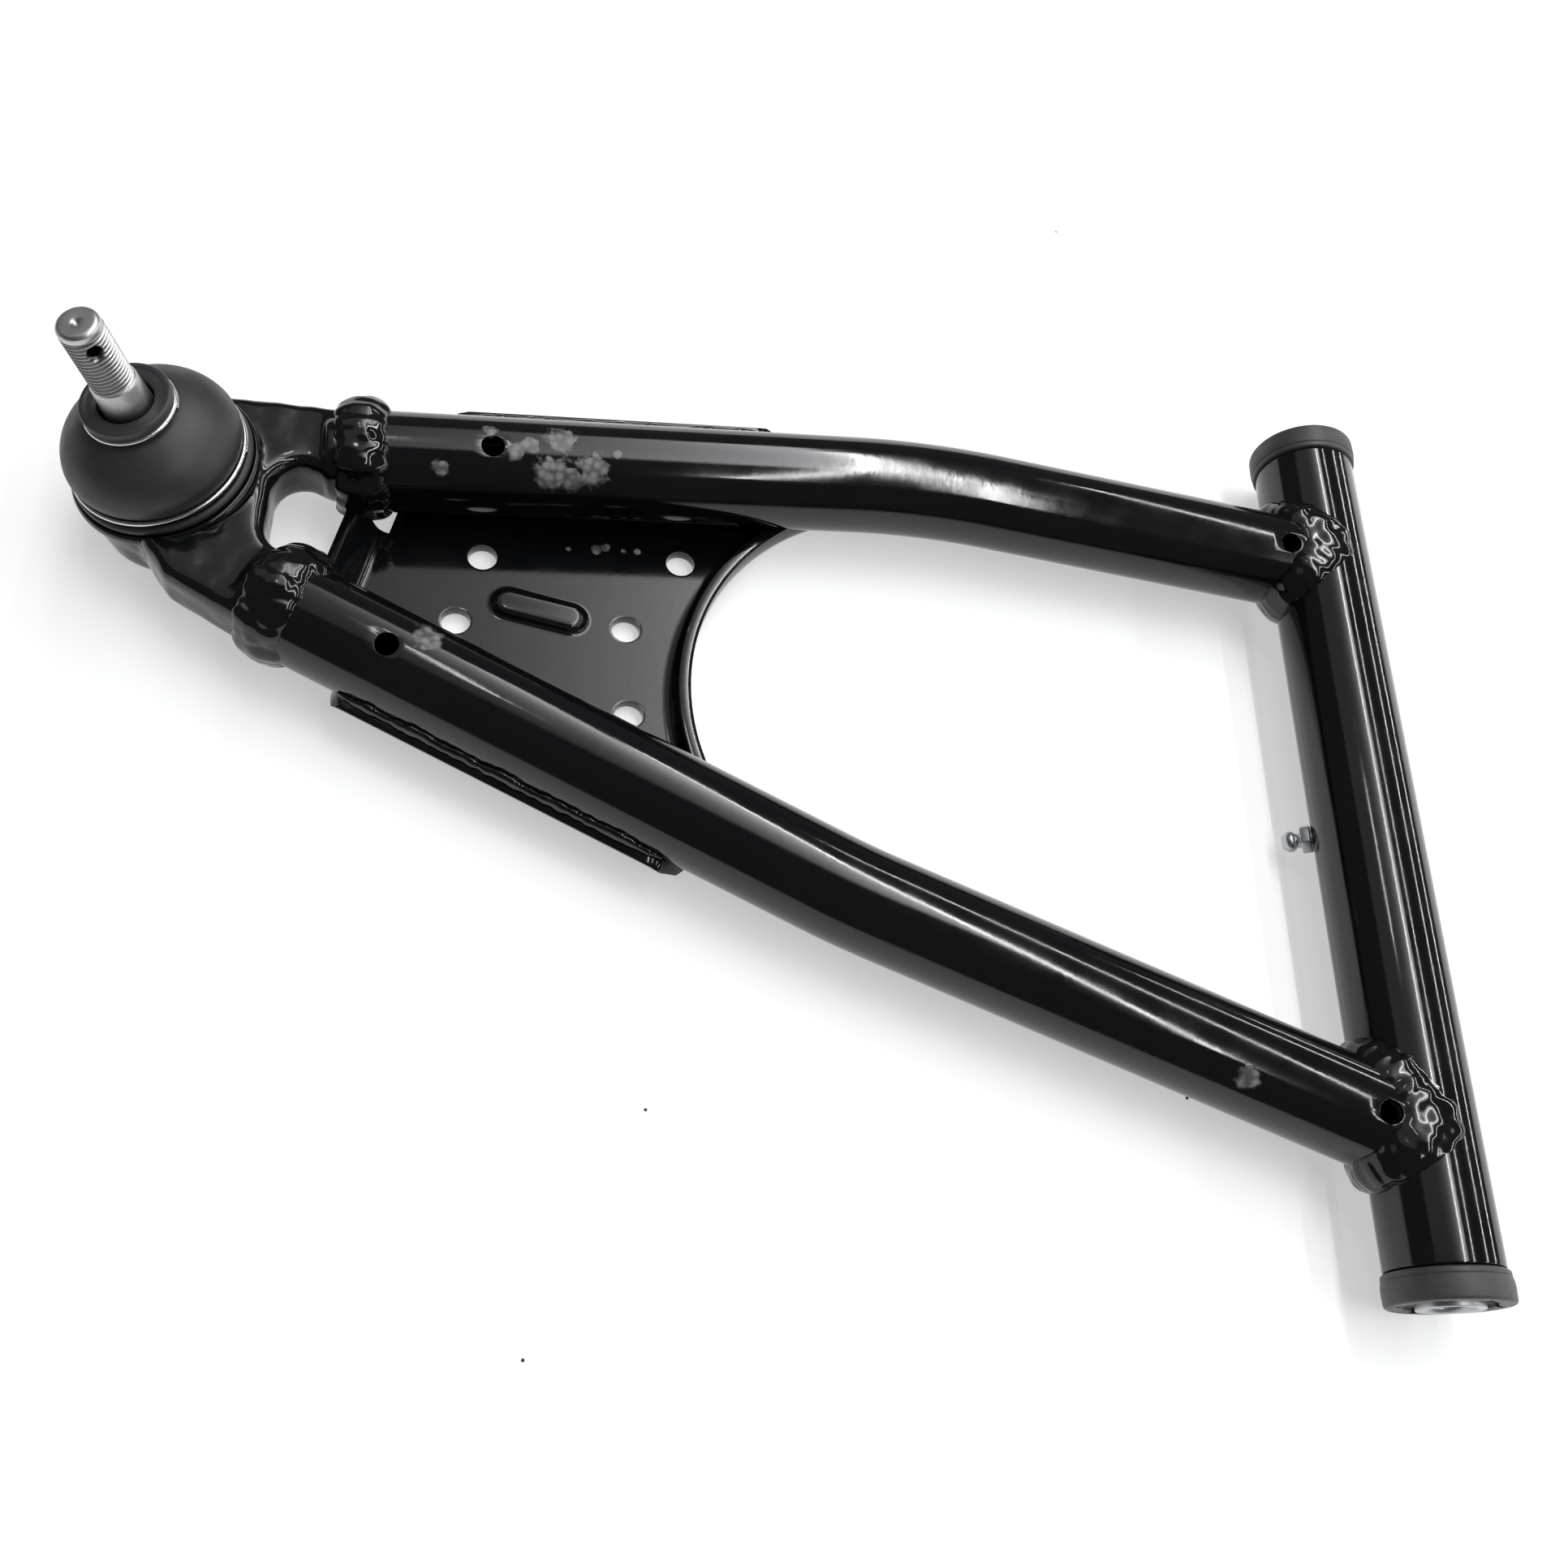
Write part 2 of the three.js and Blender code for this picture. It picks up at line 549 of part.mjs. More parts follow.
function yoke() {
  const outer = turned([
    [0, HOUSING_BOTTOM_HEIGHT],
    [HOUSING_BOTTOM_RADIUS, HOUSING_BOTTOM_HEIGHT],
    [HOUSING_RADIUS, HOUSING_BOTTOM_HEIGHT + HOUSING_BOTTOM_RISE],
    [HOUSING_RADIUS, RIM_LOW_HEIGHT],
    [RIM_RADIUS, RIM_LOW_HEIGHT + RIM_CHAMFER],
    [RIM_RADIUS, RIM_TOP_HEIGHT],
    [SPIGOT_RADIUS, RIM_TOP_HEIGHT],
    [SPIGOT_RADIUS, SPIGOT_TOP_HEIGHT],
    [0, SPIGOT_TOP_HEIGHT],
  ], PIVOT_SIDES, jointFrame);
  const cavity = turned([
    [0, HOUSING_BOTTOM_HEIGHT - CUT_PAST],
    [CURL_RADIUS, HOUSING_BOTTOM_HEIGHT - CUT_PAST],
    [CURL_RADIUS, HOUSING_BOTTOM_HEIGHT + CURL_HEIGHT],
    [CAVITY_RADIUS, HOUSING_BOTTOM_HEIGHT + CURL_HEIGHT],
    [CAVITY_RADIUS, CAVITY_TOP_HEIGHT],
    [MOUTH_RADIUS, CAVITY_TOP_HEIGHT],
    [MOUTH_RADIUS + MOUTH_FLARE, SPIGOT_TOP_HEIGHT + CUT_PAST],
    [0, SPIGOT_TOP_HEIGHT + CUT_PAST],
  ], TUBE_SIDES, jointFrame);
  const bootRoom = turned([
    [0, RIM_TOP_HEIGHT],
    [RIM_RADIUS, RIM_TOP_HEIGHT],
    [RIM_RADIUS, BOOT_TOP_HEIGHT],
    [0, BOOT_TOP_HEIGHT],
  ], PIVOT_SIDES, jointFrame);
  return yokeWeb()
    .subtract(bootRoom)
    .add(outer)
    .add(yokeStub(frontRoute))
    .add(yokeStub(rearRoute))
    .subtract(cavity);
}

const coverLow = HOUSING_BOTTOM_HEIGHT + CURL_HEIGHT + FIT_GAP;
const preloadLow = coverLow + COVER_THICKNESS + FIT_GAP;
const lowerSeatLow = preloadLow + PRELOAD_THICKNESS + FIT_GAP;
const seatRadius = CAVITY_RADIUS - FIT_GAP;
const seatSphere = BALL_RADIUS + FIT_GAP;

// Points up the inside of a seat, from one height to another, listed from high to low.
function seatArc(high, low) {
  return Array.from({ length: ARC_STEPS + 1 }, (_, i) => {
    const height = high + (low - high) * i / ARC_STEPS;
    return [Math.sqrt(seatSphere ** 2 - height ** 2), height];
  });
}

function upperSeat() {
  const low = FIT_GAP / 2;
  const top = CAVITY_TOP_HEIGHT - FIT_GAP;
  const edge = seatSphere * Math.cos(radians(SEAT_OPENING_ANGLE));
  return turned([
    [seatRadius, low],
    [seatRadius, top],
    [MOUTH_RADIUS - FIT_GAP, top],
    ...seatArc(edge, low),
  ], TUBE_SIDES, jointFrame);
}

function lowerSeat() {
  const high = -FIT_GAP / 2;
  const low = -Math.sqrt(seatSphere ** 2 - LOWER_SEAT_MOUTH_RADIUS ** 2);
  return turned([
    [LOWER_SEAT_MOUTH_RADIUS, lowerSeatLow],
    [seatRadius, lowerSeatLow],
    [seatRadius, high],
    ...seatArc(high, low),
  ], TUBE_SIDES, jointFrame);
}

function preloadRing() {
  return turned([
    [PRELOAD_INNER_RADIUS, preloadLow],
    [seatRadius, preloadLow],
    [seatRadius, preloadLow + PRELOAD_THICKNESS],
    [PRELOAD_INNER_RADIUS, preloadLow + PRELOAD_THICKNESS],
  ], SMALL_SIDES, jointFrame);
}

function housingCover() {
  return turned([
    [0, coverLow],
    [seatRadius, coverLow],
    [seatRadius, coverLow + COVER_THICKNESS],
    [0, coverLow + COVER_THICKNESS],
  ], SMALL_SIDES, jointFrame);
}

function ballStud() {
  const steps = ARC_STEPS + 3;
  const low = Math.acos(BALL_FLAT_HEIGHT / BALL_RADIUS);
  const high = Math.asin(NECK_RADIUS / BALL_RADIUS);
  const sphere = Array.from({ length: steps + 1 }, (_, i) => {
    const angle = low + (high - low) * i / steps;
    return [BALL_RADIUS * Math.sin(angle), BALL_RADIUS * Math.cos(angle)];
  });
  const body = turned([
    [0, BALL_FLAT_HEIGHT],
    ...sphere,
    [NECK_RADIUS, TAPER_START_HEIGHT - SHANK_COLLAR_RISE],
    [TAPER_START_RADIUS, TAPER_START_HEIGHT],
    [TAPER_END_RADIUS, THREAD_START_HEIGHT],
    [THREAD_RADIUS, THREAD_START_HEIGHT + THREAD_RUN_IN],
    [THREAD_RADIUS, STUD_TIP_HEIGHT - STUD_TIP_CHAMFER],
    [THREAD_RADIUS - STUD_TIP_CHAMFER, STUD_TIP_HEIGHT],
    [0, STUD_TIP_HEIGHT],
  ], SMALL_SIDES, jointFrame);
  const cotterFrame = jointFrame.clone()
    .multiply(new THREE.Matrix4().makeTranslation(0, 0, COTTER_HEIGHT));
  const cotterLength = 2 * (THREAD_RADIUS + CUT_PAST);
  const cotterHole = new THREE.CylinderGeometry(COTTER_RADIUS, COTTER_RADIUS, cotterLength, SMALL_SIDES);
  return body.subtract(solid(cotterHole, cotterFrame));
}

// A wire bent into a closed ring about the joint's axis.
function wireRing(radius, height) {
  const profile = Array.from({ length: WIRE_SIDES }, (_, i) => {
    const angle = 2 * Math.PI * i / WIRE_SIDES;
    return [radius + WIRE_RADIUS * Math.cos(angle), height + WIRE_RADIUS * Math.sin(angle)];
  });
  return turned(profile, TUBE_SIDES, jointFrame);
}

const collarLow = BOOT_TOP_HEIGHT + FIT_GAP;
const studTaper = (TAPER_START_RADIUS - TAPER_END_RADIUS) / (THREAD_START_HEIGHT - TAPER_START_HEIGHT);
const studAtCollar = TAPER_START_RADIUS - studTaper * (BOOT_TOP_HEIGHT - TAPER_START_HEIGHT);
const collarBoreRadius = studAtCollar + COLLAR_CLEARANCE;
const baseRingRadius = SPIGOT_RADIUS + FIT_GAP + WIRE_RADIUS;
const topWireRadius = COLLAR_RADIUS - WIRE_RADIUS + WIRE_PROUD;
const topWireHeight = BOOT_TOP_HEIGHT - WIRE_RADIUS;

// Points over the boot's dome, from its bulge in to its neck.
function bootDome(bulge, neck, pull) {
  const curve = new THREE.QuadraticBezierCurve(bulge, pull, neck);
  return curve.getPoints(ARC_STEPS).map((point) => [point.x, point.y]);
}

// A thin domed shell: out over the bulge, in to the neck, and back down the inside.
function dustBoot() {
  const foot = SPIGOT_TOP_HEIGHT + FIT_GAP;
  const base = baseRingRadius - WIRE_RADIUS - FIT_GAP;
  const hem = BASE_RING_HEIGHT + WIRE_RADIUS + FIT_GAP;
  const neck = topWireRadius - WIRE_RADIUS - FIT_GAP;
  const neckHeight = topWireHeight - WIRE_RADIUS - FIT_GAP;
  const outside = bootDome(
    new THREE.Vector2(BOOT_BULGE_RADIUS, BOOT_BULGE_HEIGHT),
    new THREE.Vector2(neck, neckHeight),
    new THREE.Vector2(BOOT_DOME_PULL.radius, BOOT_DOME_PULL.height),
  );
  const inside = bootDome(
    new THREE.Vector2(BOOT_BULGE_RADIUS - BOOT_WALL, BOOT_BULGE_HEIGHT),
    new THREE.Vector2(collarBoreRadius + BOOT_HEM, neckHeight - BOOT_WALL),
    new THREE.Vector2(BOOT_DOME_PULL.radius - BOOT_WALL, BOOT_DOME_PULL.height - BOOT_WALL),
  );
  return turned([
    [base - BOOT_WALL, foot],
    [base, foot],
    [base, hem],
    [BOOT_BULGE_RADIUS - BOOT_HEM, hem + BOOT_HEM],
    ...outside,
    [neck, BOOT_TOP_HEIGHT],
    [collarBoreRadius, BOOT_TOP_HEIGHT],
    [collarBoreRadius, neckHeight - BOOT_WALL + BOOT_HEM],
    ...inside.reverse(),
    [base - BOOT_WALL, hem],
  ], TUBE_SIDES, jointFrame);
}

function bootCollar() {
  const top = collarLow + COLLAR_HEIGHT;
  return turned([
    [collarBoreRadius, collarLow],
    [COLLAR_RADIUS - COLLAR_EDGE, collarLow],
    [COLLAR_RADIUS, collarLow + COLLAR_EDGE],
    [COLLAR_RADIUS, top - COLLAR_EDGE],
    [COLLAR_RADIUS - COLLAR_EDGE, top],
    [collarBoreRadius, top],
  ], TUBE_SIDES, jointFrame);
}

// The steel band that presses the boot's foot onto the housing's spigot.
function anchorBand() {
  const inner = SPIGOT_RADIUS + FIT_GAP;
  const low = RIM_TOP_HEIGHT + FIT_GAP;
  return turned([
    [inner, low],
    [inner + ANCHOR_BAND_WIDTH, low],
    [inner + ANCHOR_BAND_WIDTH, low + ANCHOR_BAND_WIDTH],
    [inner, low + ANCHOR_BAND_WIDTH],
  ], TUBE_SIDES, jointFrame);
}

// ---------------------------------------------------------------- gusset plate

const lipRadius = ARM_RADIUS + FIT_GAP;

// A curved strip that hugs the outer side of a tube, between two angles in degrees, where -90 is
// under the tube and 0 is level with its axis. Side is +1 on the front tube and -1 on the rear one.
function strip(route, side, { start, length }, lowAngle, highAngle, thickness) {
  const low = radians(lowAngle);
  const high = radians(highAngle);
  const shape = new THREE.Shape();
  shape.absarc(0, 0, lipRadius, high, low, true);
  shape.absarc(0, 0, lipRadius + thickness, low, high, false);
  shape.closePath();
  const geometry = new THREE.ExtrudeGeometry(shape, {
    depth: length,
    bevelEnabled: false,
    curveSegments: Math.max(2, Math.round((highAngle - lowAngle) / STRIP_STEP)),
  });
  const along = noseDirection(route);
  const outward = new THREE.Vector3().crossVectors(UP, along).multiplyScalar(side);
  const forward = new THREE.Vector3().crossVectors(outward, UP);
  const nearEnd = forward.dot(along) > 0 ? start : start + length;
  const place = route[0].clone().addScaledVector(along, nearEnd);
  return solid(geometry, new THREE.Matrix4().makeBasis(outward, UP, forward).setPosition(place));
}

// The stretch of plate that curls round the outer side of a tube.
function lip(route, side, size) {
  return strip(route, side, size, -90, size.top, PLATE_THICKNESS);
}

// The weld that runs along the top of that lip.
function lipBead(route, side, size) {
  const gapAngle = THREE.MathUtils.radToDeg(FIT_GAP / lipRadius);
  const run = { start: size.start + LIP_BEAD_INSET, length: size.length - 2 * LIP_BEAD_INSET };
  const low = size.top + gapAngle;
  return strip(route, side, run, low, low + LIP_BEAD_ANGLE, LIP_BEAD_THICKNESS);
}

// A point under a tube's axis at a distance from its nose end.
function underTube(route, distance) {
  const place = route[0].clone().addScaledVector(noseDirection(route), distance);
  return new THREE.Vector2(place.x, place.y);
}

const noseMiddle = new THREE.Vector2(ball.x + PLATE_START, ball.y + (FRONT_NOSE.y + REAR_NOSE.y) / 2);

// Where the plate's skewed nose edge passes under a tube's axis.
function noseCorner(route) {
  const along = noseDirection(route);
  const skew = Math.tan(radians(NOSE_FLANGE_SKEW));
  const away = noseMiddle.clone().sub(new THREE.Vector2(route[0].x, route[0].y));
  return underTube(route, (away.x - away.y * skew) / (along.x - along.y * skew));
}

function plateOutline() {
  const corners = [
    noseCorner(frontRoute),
    noseCorner(rearRoute),
    underTube(rearRoute, REAR_LIP.start),
    underTube(rearRoute, REAR_LIP.start + REAR_LIP.length),
    underTube(frontRoute, FRONT_LIP.start + FRONT_LIP.length),
    underTube(frontRoute, FRONT_LIP.start),
  ];
  return new THREE.Shape(corners);
}

function disc(x, y, radius, low, high, sides = TUBE_SIDES * 2) {
  return bar(new THREE.Vector3(x, y, low), new THREE.Vector3(x, y, high), radius, sides);
}

// It stands between the tubes, clear of the beads round their ends.
function noseFlange() {
  const width = FRONT_NOSE.y - REAR_NOSE.y;
  const height = NOSE_FLANGE_HEIGHT + PLATE_THICKNESS;
  const geometry = new THREE.BoxGeometry(PLATE_THICKNESS, width, height)
    .translate(PLATE_THICKNESS / 2, 0, height / 2)
    .rotateY(-radians(NOSE_FLANGE_LEAN))
    .rotateZ(-radians(NOSE_FLANGE_SKEW))
    .translate(noseMiddle.x, noseMiddle.y, plateBottom);
  const room = (route) => bar(
    route[0].clone().addScaledVector(noseDirection(route), -STUB_ROOT),
    route[0].clone().addScaledVector(noseDirection(route), PLATE_START),
    ARM_RADIUS + BEAD_THICKNESS + 3 * FIT_GAP,
  );
  return solid(geometry).subtract(room(frontRoute)).subtract(room(rearRoute));
}

function arcFlange(arcX, arcY) {
  const top = plateTop + ARC_FLANGE_HEIGHT;
  const ring = disc(arcX, arcY, ARC_RADIUS + PLATE_THICKNESS, plateBottom, top)
    .subtract(disc(arcX, arcY, ARC_RADIUS, plateBottom - CUT_PAST, top + CUT_PAST));
  const keep = slab(plateOutline(), plateBottom, top);
  return ring.intersect(keep);
}

function raisedRib() {
  const half = RIB.width / 2;
  const run = RIB.length / 2 - half;
  const shape = new THREE.Shape();
  shape.absarc(run, 0, half, -Math.PI / 2, Math.PI / 2, false);
  shape.absarc(-run, 0, half, Math.PI / 2, Math.PI * 1.5, false);
  shape.closePath();
  return slab(shape, plateTop - RIB_ROOT, plateTop + RIB.height, SMALL_SIDES)
    .rotate([0, 0, RIB.angle])
    .translate([ball.x + RIB.x, ball.y + RIB.y, 0]);
}

function gussetPlate() {
  const arcX = ball.x + ARC_CENTRE.x;
  const arcY = ball.y + ARC_CENTRE.y;
  const rooms = tubeRoom(frontRoute).add(tubeRoom(rearRoute));
  let plate = slab(plateOutline(), plateBottom, plateTop)
    .add(lip(frontRoute, 1, FRONT_LIP))
    .add(lip(rearRoute, -1, REAR_LIP))
    .subtract(disc(arcX, arcY, ARC_RADIUS, plateBottom - CUT_PAST, ARM_RADIUS))
    .add(noseFlange())
    .add(arcFlange(arcX, arcY))
    .add(raisedRib())
    .subtract(rooms);
  for (const hole of PLATE_HOLES) {
    const [x, y] = [ball.x + hole.x, ball.y + hole.y];
    const cut = disc(x, y, PLATE_HOLE_RADIUS, plateBottom - CUT_PAST, plateTop + CUT_PAST, SMALL_SIDES);
    plate = plate.subtract(cut);
  }
  return plate;
}

// ---------------------------------------------------------------- assembly

add('pivot_tube', pivotTube(), glossBlack);
add('front_bush', bush(1), bushPlastic);
add('rear_bush', bush(-1), bushPlastic);
add('pivot_sleeve', pivotSleeve(), zincSteel);
add('grease_nipple', greaseNipple(), zincSteel);
add('nipple_check_ball', nippleBall(), machinedSteel);
add('front_arm_tube', armTube(frontRoute, FRONT_DRAIN_FROM_NOSE), glossBlack);
add('rear_arm_tube', armTube(rearRoute, REAR_DRAIN_FROM_NOSE), glossBlack);
add('front_pivot_weld', saddleBead(frontRoute), glossBlack);
add('rear_pivot_weld', saddleBead(rearRoute), glossBlack);
add('front_nose_weld', noseBead(frontRoute), glossBlack);
add('rear_nose_weld', noseBead(rearRoute), glossBlack);
add('ball_joint_yoke', yoke(), glossBlack);
add('upper_ball_seat', upperSeat(), seatPlastic);
add('lower_ball_seat', lowerSeat(), seatPlastic);
add('preload_ring', preloadRing(), preloadRubber);
add('housing_cover', housingCover(), zincSteel);
add('ball_stud', ballStud(), machinedSteel);
add('dust_boot', dustBoot(), bootRubber);
add('boot_collar', bootCollar(), bootRubber);
add('boot_top_wire', wireRing(topWireRadius, topWireHeight), springWire);
add('boot_base_wire', wireRing(baseRingRadius, BASE_RING_HEIGHT), springWire);
add('boot_anchor_band', anchorBand(), bootRubber);
add('gusset_plate', gussetPlate(), glossBlack);
add('front_lip_weld', lipBead(frontRoute, 1, FRONT_LIP), glossBlack);
add('rear_lip_weld', lipBead(rearRoute, -1, REAR_LIP), glossBlack);

// The origin goes under the middle of the arm's box, on the surface that it lies on.
const box = new THREE.Box3().setFromObject(arm, true);
const middle = box.getCenter(new THREE.Vector3());
arm.position.set(-middle.x, -middle.y, -box.min.z);

const group = new THREE.Group();
group.add(arm);

export default group;
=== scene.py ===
"""Suspension control arm, dressed for its portrait.

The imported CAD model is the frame. Each class below builds one sub-assembly in millimetres, in the
arm's own datum: the pivot axis runs along Y through the origin, the ball joint lies towards -X and
its stud points up.
"""

import json
import logging
import math
from collections.abc import Callable, Iterable, Sequence
from dataclasses import dataclass, field
from enum import Enum

import bmesh
import bpy
from bmesh.types import BMEdge, BMesh, BMVert
from bpy.types import Material, Node, NodeSocket, NodeTree, Object
from mathutils import Matrix, Vector, noise


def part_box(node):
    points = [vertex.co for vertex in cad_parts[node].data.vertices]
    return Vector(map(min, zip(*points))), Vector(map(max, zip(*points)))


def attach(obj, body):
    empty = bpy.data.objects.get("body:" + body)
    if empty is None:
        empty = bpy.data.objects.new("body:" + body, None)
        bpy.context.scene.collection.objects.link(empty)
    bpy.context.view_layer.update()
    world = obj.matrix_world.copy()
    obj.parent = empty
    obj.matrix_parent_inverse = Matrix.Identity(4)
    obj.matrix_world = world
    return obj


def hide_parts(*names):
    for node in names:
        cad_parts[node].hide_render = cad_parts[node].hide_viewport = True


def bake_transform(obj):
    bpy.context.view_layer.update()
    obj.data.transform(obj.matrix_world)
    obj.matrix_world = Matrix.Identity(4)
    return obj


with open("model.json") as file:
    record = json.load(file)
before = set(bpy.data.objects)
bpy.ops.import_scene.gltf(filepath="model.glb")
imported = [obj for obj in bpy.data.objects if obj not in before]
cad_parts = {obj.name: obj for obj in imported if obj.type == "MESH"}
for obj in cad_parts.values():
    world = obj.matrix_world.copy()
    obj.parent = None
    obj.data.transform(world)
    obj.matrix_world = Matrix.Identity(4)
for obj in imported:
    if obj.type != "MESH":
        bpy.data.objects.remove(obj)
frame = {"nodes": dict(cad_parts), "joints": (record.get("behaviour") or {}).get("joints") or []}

LOG = logging.getLogger("control_arm")
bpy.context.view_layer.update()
MM = 0.001
UP = Vector((0.0, 0.0, 1.0))

JOINTS = {joint["name"]: joint for joint in frame["joints"]}
DATUM = Vector(JOINTS["sleeve_turn"]["pos_m"])
BALL = (Vector(JOINTS["stud_rock"]["pos_m"]) - DATUM) / MM
STUD_AXIS = Vector(JOINTS["stud_spin"]["axis"]).normalized()
TILT_AXIS = Vector(JOINTS["stud_tilt"]["axis"]).normalized()
HALF_PIVOT = (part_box("pivot_tube")[1].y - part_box("pivot_tube")[0].y) / 2 / MM

EASE_SHARE = 0.45
MERGE_GAP = 1e-4
LEVEL_GAP = 1e-6
OFF_EVERY_AXIS = Vector((0.3, 0.2, 1))

Profile = list[tuple[float, float]]
Colour = tuple[float, float, float, float]
Value = NodeSocket | float | Sequence[float]
EdgeRun = list[BMEdge]
Move = Callable[[Vector], Vector]
Grow = Callable[[EdgeRun, Move], EdgeRun]


class Body(Enum):
    """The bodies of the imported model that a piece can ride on."""

    ARM = "arm"
    SLEEVE = "sleeve"
    CHECK_BALL = "check_ball"
    BOOT = "boot"
    COLLAR = "collar"
    STUD = "stud"


class Slot(Enum):
    """The record's material slots that the new pieces use."""

    PAINT = "gloss_black_paint"
    PLASTIC = "bush_plastic"
    ZINC = "zinc_steel"
    STEEL = "machined_steel"
    RUBBER = "boot_rubber"
    WIRE = "spring_wire"


class Side(Enum):
    """Front is towards +Y and rear towards -Y."""

    FRONT = 1
    REAR = -1


class Cut(Enum):
    """How one solid changes another."""

    REMOVE = "DIFFERENCE"
    KEEP = "INTERSECT"


# ------------------------------------------------------------------ frames

def joint_frame(height: float = 0.0) -> Matrix:
    """The ball joint's frame, Z along its stud.

    Args:
        height: How far up the stud's axis the frame's origin stands.

    Returns:
        A matrix from the joint's own axes to the arm's datum.
    """
    side = STUD_AXIS.cross(TILT_AXIS)
    turn = Matrix((TILT_AXIS, side, STUD_AXIS)).transposed().to_4x4()
    return Matrix.Translation(BALL) @ turn @ Matrix.Translation((0, 0, height))


def looking(place: Vector, along: Vector, upward: Vector) -> Matrix:
    """A frame at a place with Z along one direction and Y as near as can be to another.

    Args:
        place: The origin.
        along: The direction of Z.
        upward: The direction that Y leans towards.

    Returns:
        The frame as a matrix.
    """
    z_axis = along.normalized()
    x_axis = upward.cross(z_axis).normalized()
    y_axis = z_axis.cross(x_axis)
    turn = Matrix((x_axis, y_axis, z_axis)).transposed().to_4x4()
    return Matrix.Translation(place) @ turn


PIVOT_FRAME = looking(Vector((0, 0, 0)), Vector((0, 1, 0)), UP)


# ------------------------------------------------------------------ mesh tools

def eased(corners: Profile, radius: float, steps: int = 4, closed: bool = False) -> Profile:
    """Rounds the corners of a profile.

    Args:
        corners: Points in order.
        radius: How far from each corner its rounding starts, where the sides are long enough.
        steps: Segments in each rounding.
        closed: Whether the last point joins the first.

    Returns:
        The rounded profile.
    """
    points = [Vector(corner) for corner in corners]
    count = len(points)
    made: list[Vector] = []
    for i, point in enumerate(points):
        if not closed and i in (0, count - 1):
            made.append(point)
            continue
        before, after = points[i - 1], points[(i + 1) % count]
        reach_in = min(radius, (before - point).length * EASE_SHARE)
        reach_out = min(radius, (after - point).length * EASE_SHARE)
        start = point + (before - point).normalized() * reach_in
        end = point + (after - point).normalized() * reach_out
        for k in range(steps + 1):
            t = k / steps
            made.append(start * (1 - t) ** 2 + point * 2 * t * (1 - t) + end * t ** 2)
    return [(v.x, v.y) for v in made]


def lathe(profile: Profile, place: Matrix, sides: int = 96, closed: bool = False) -> BMesh:
    """Turns a profile of (radius, height) about Z.

    Args:
        profile: Points from one end to the other.
        place: Frame that the turned shape is put in.
        sides: Segments round the turn.
        closed: Whether the profile's last point joins its first.

    Returns:
        A closed mesh with its faces pointing out.
    """
    mesh = bmesh.new()
    points = [mesh.verts.new((radius, 0, height)) for radius, height in profile]
    edges = [mesh.edges.new(pair) for pair in zip(points, points[1:])]
    if closed:
        edges.append(mesh.edges.new((points[-1], points[0])))
    bmesh.ops.spin(
        mesh, geom=points + edges, cent=(0, 0, 0), axis=(0, 0, 1), angle=2 * math.pi,
        steps=sides, use_merge=True,
    )
    bmesh.ops.remove_doubles(mesh, verts=mesh.verts, dist=MERGE_GAP)
    bmesh.ops.recalc_face_normals(mesh, faces=mesh.faces)
    bmesh.ops.transform(mesh, matrix=place, verts=mesh.verts)
    return mesh


def sweep(stations: Sequence[Matrix], section: Sequence[Vector], closed: bool = False) -> BMesh:
    """Extrudes a section from station to station.

    Args:
        stations: Frames along the path; each may also scale the section.
        section: Corners of the section in a station's XY plane.
        closed: Whether the last station joins the first.

    Returns:
        A closed mesh with its faces pointing out.
    """
    mesh = bmesh.new()
    ring = [mesh.verts.new(stations[0] @ point.to_3d()) for point in section]
    first = [mesh.edges.new((ring[i - 1], ring[i])) for i in range(len(ring))]
    if not closed:
        mesh.faces.new(ring)
    edges = first
    for before, after in zip(stations, stations[1:]):
        made = bmesh.ops.extrude_edge_only(mesh, edges=edges)["geom"]
        verts = [item for item in made if isinstance(item, BMVert)]
        edges = [item for item in made if isinstance(item, BMEdge) and item.is_boundary]
        bmesh.ops.transform(mesh, matrix=after @ before.inverted(), verts=verts)
    if closed:
        bmesh.ops.bridge_loops(mesh, edges=first + edges)
    else:
        bmesh.ops.contextual_create(mesh, geom=edges)
    bmesh.ops.recalc_face_normals(mesh, faces=mesh.faces)
    return mesh


def circle(radius: float, sides: int) -> list[Vector]:
    """Points round a circle."""
    turn = 2 * math.pi / sides
    return [Vector((radius * math.cos(i * turn), radius * math.sin(i * turn))) for i in range(sides)]


def rod(start: Vector, end: Vector, radius: float, sides: int = 48,
        end_radius: float | None = None) -> BMesh:
    """A round bar between two points.

    Args:
        start: Middle of the first end.
        end: Middle of the other end.
        radius: Radius at the start.
        sides: Sides round the bar.
        end_radius: Radius at the end, where it isn't the same.

    Returns:
        A closed mesh.
    """
    mesh = bmesh.new()
    last = radius if end_radius is None else end_radius
    length = (end - start).length
    place = looking((start + end) / 2, end - start, OFF_EVERY_AXIS)
    bmesh.ops.create_cone(
        mesh, cap_ends=True, segments=sides, radius1=radius, radius2=last, depth=length, matrix=place,
    )
    return mesh


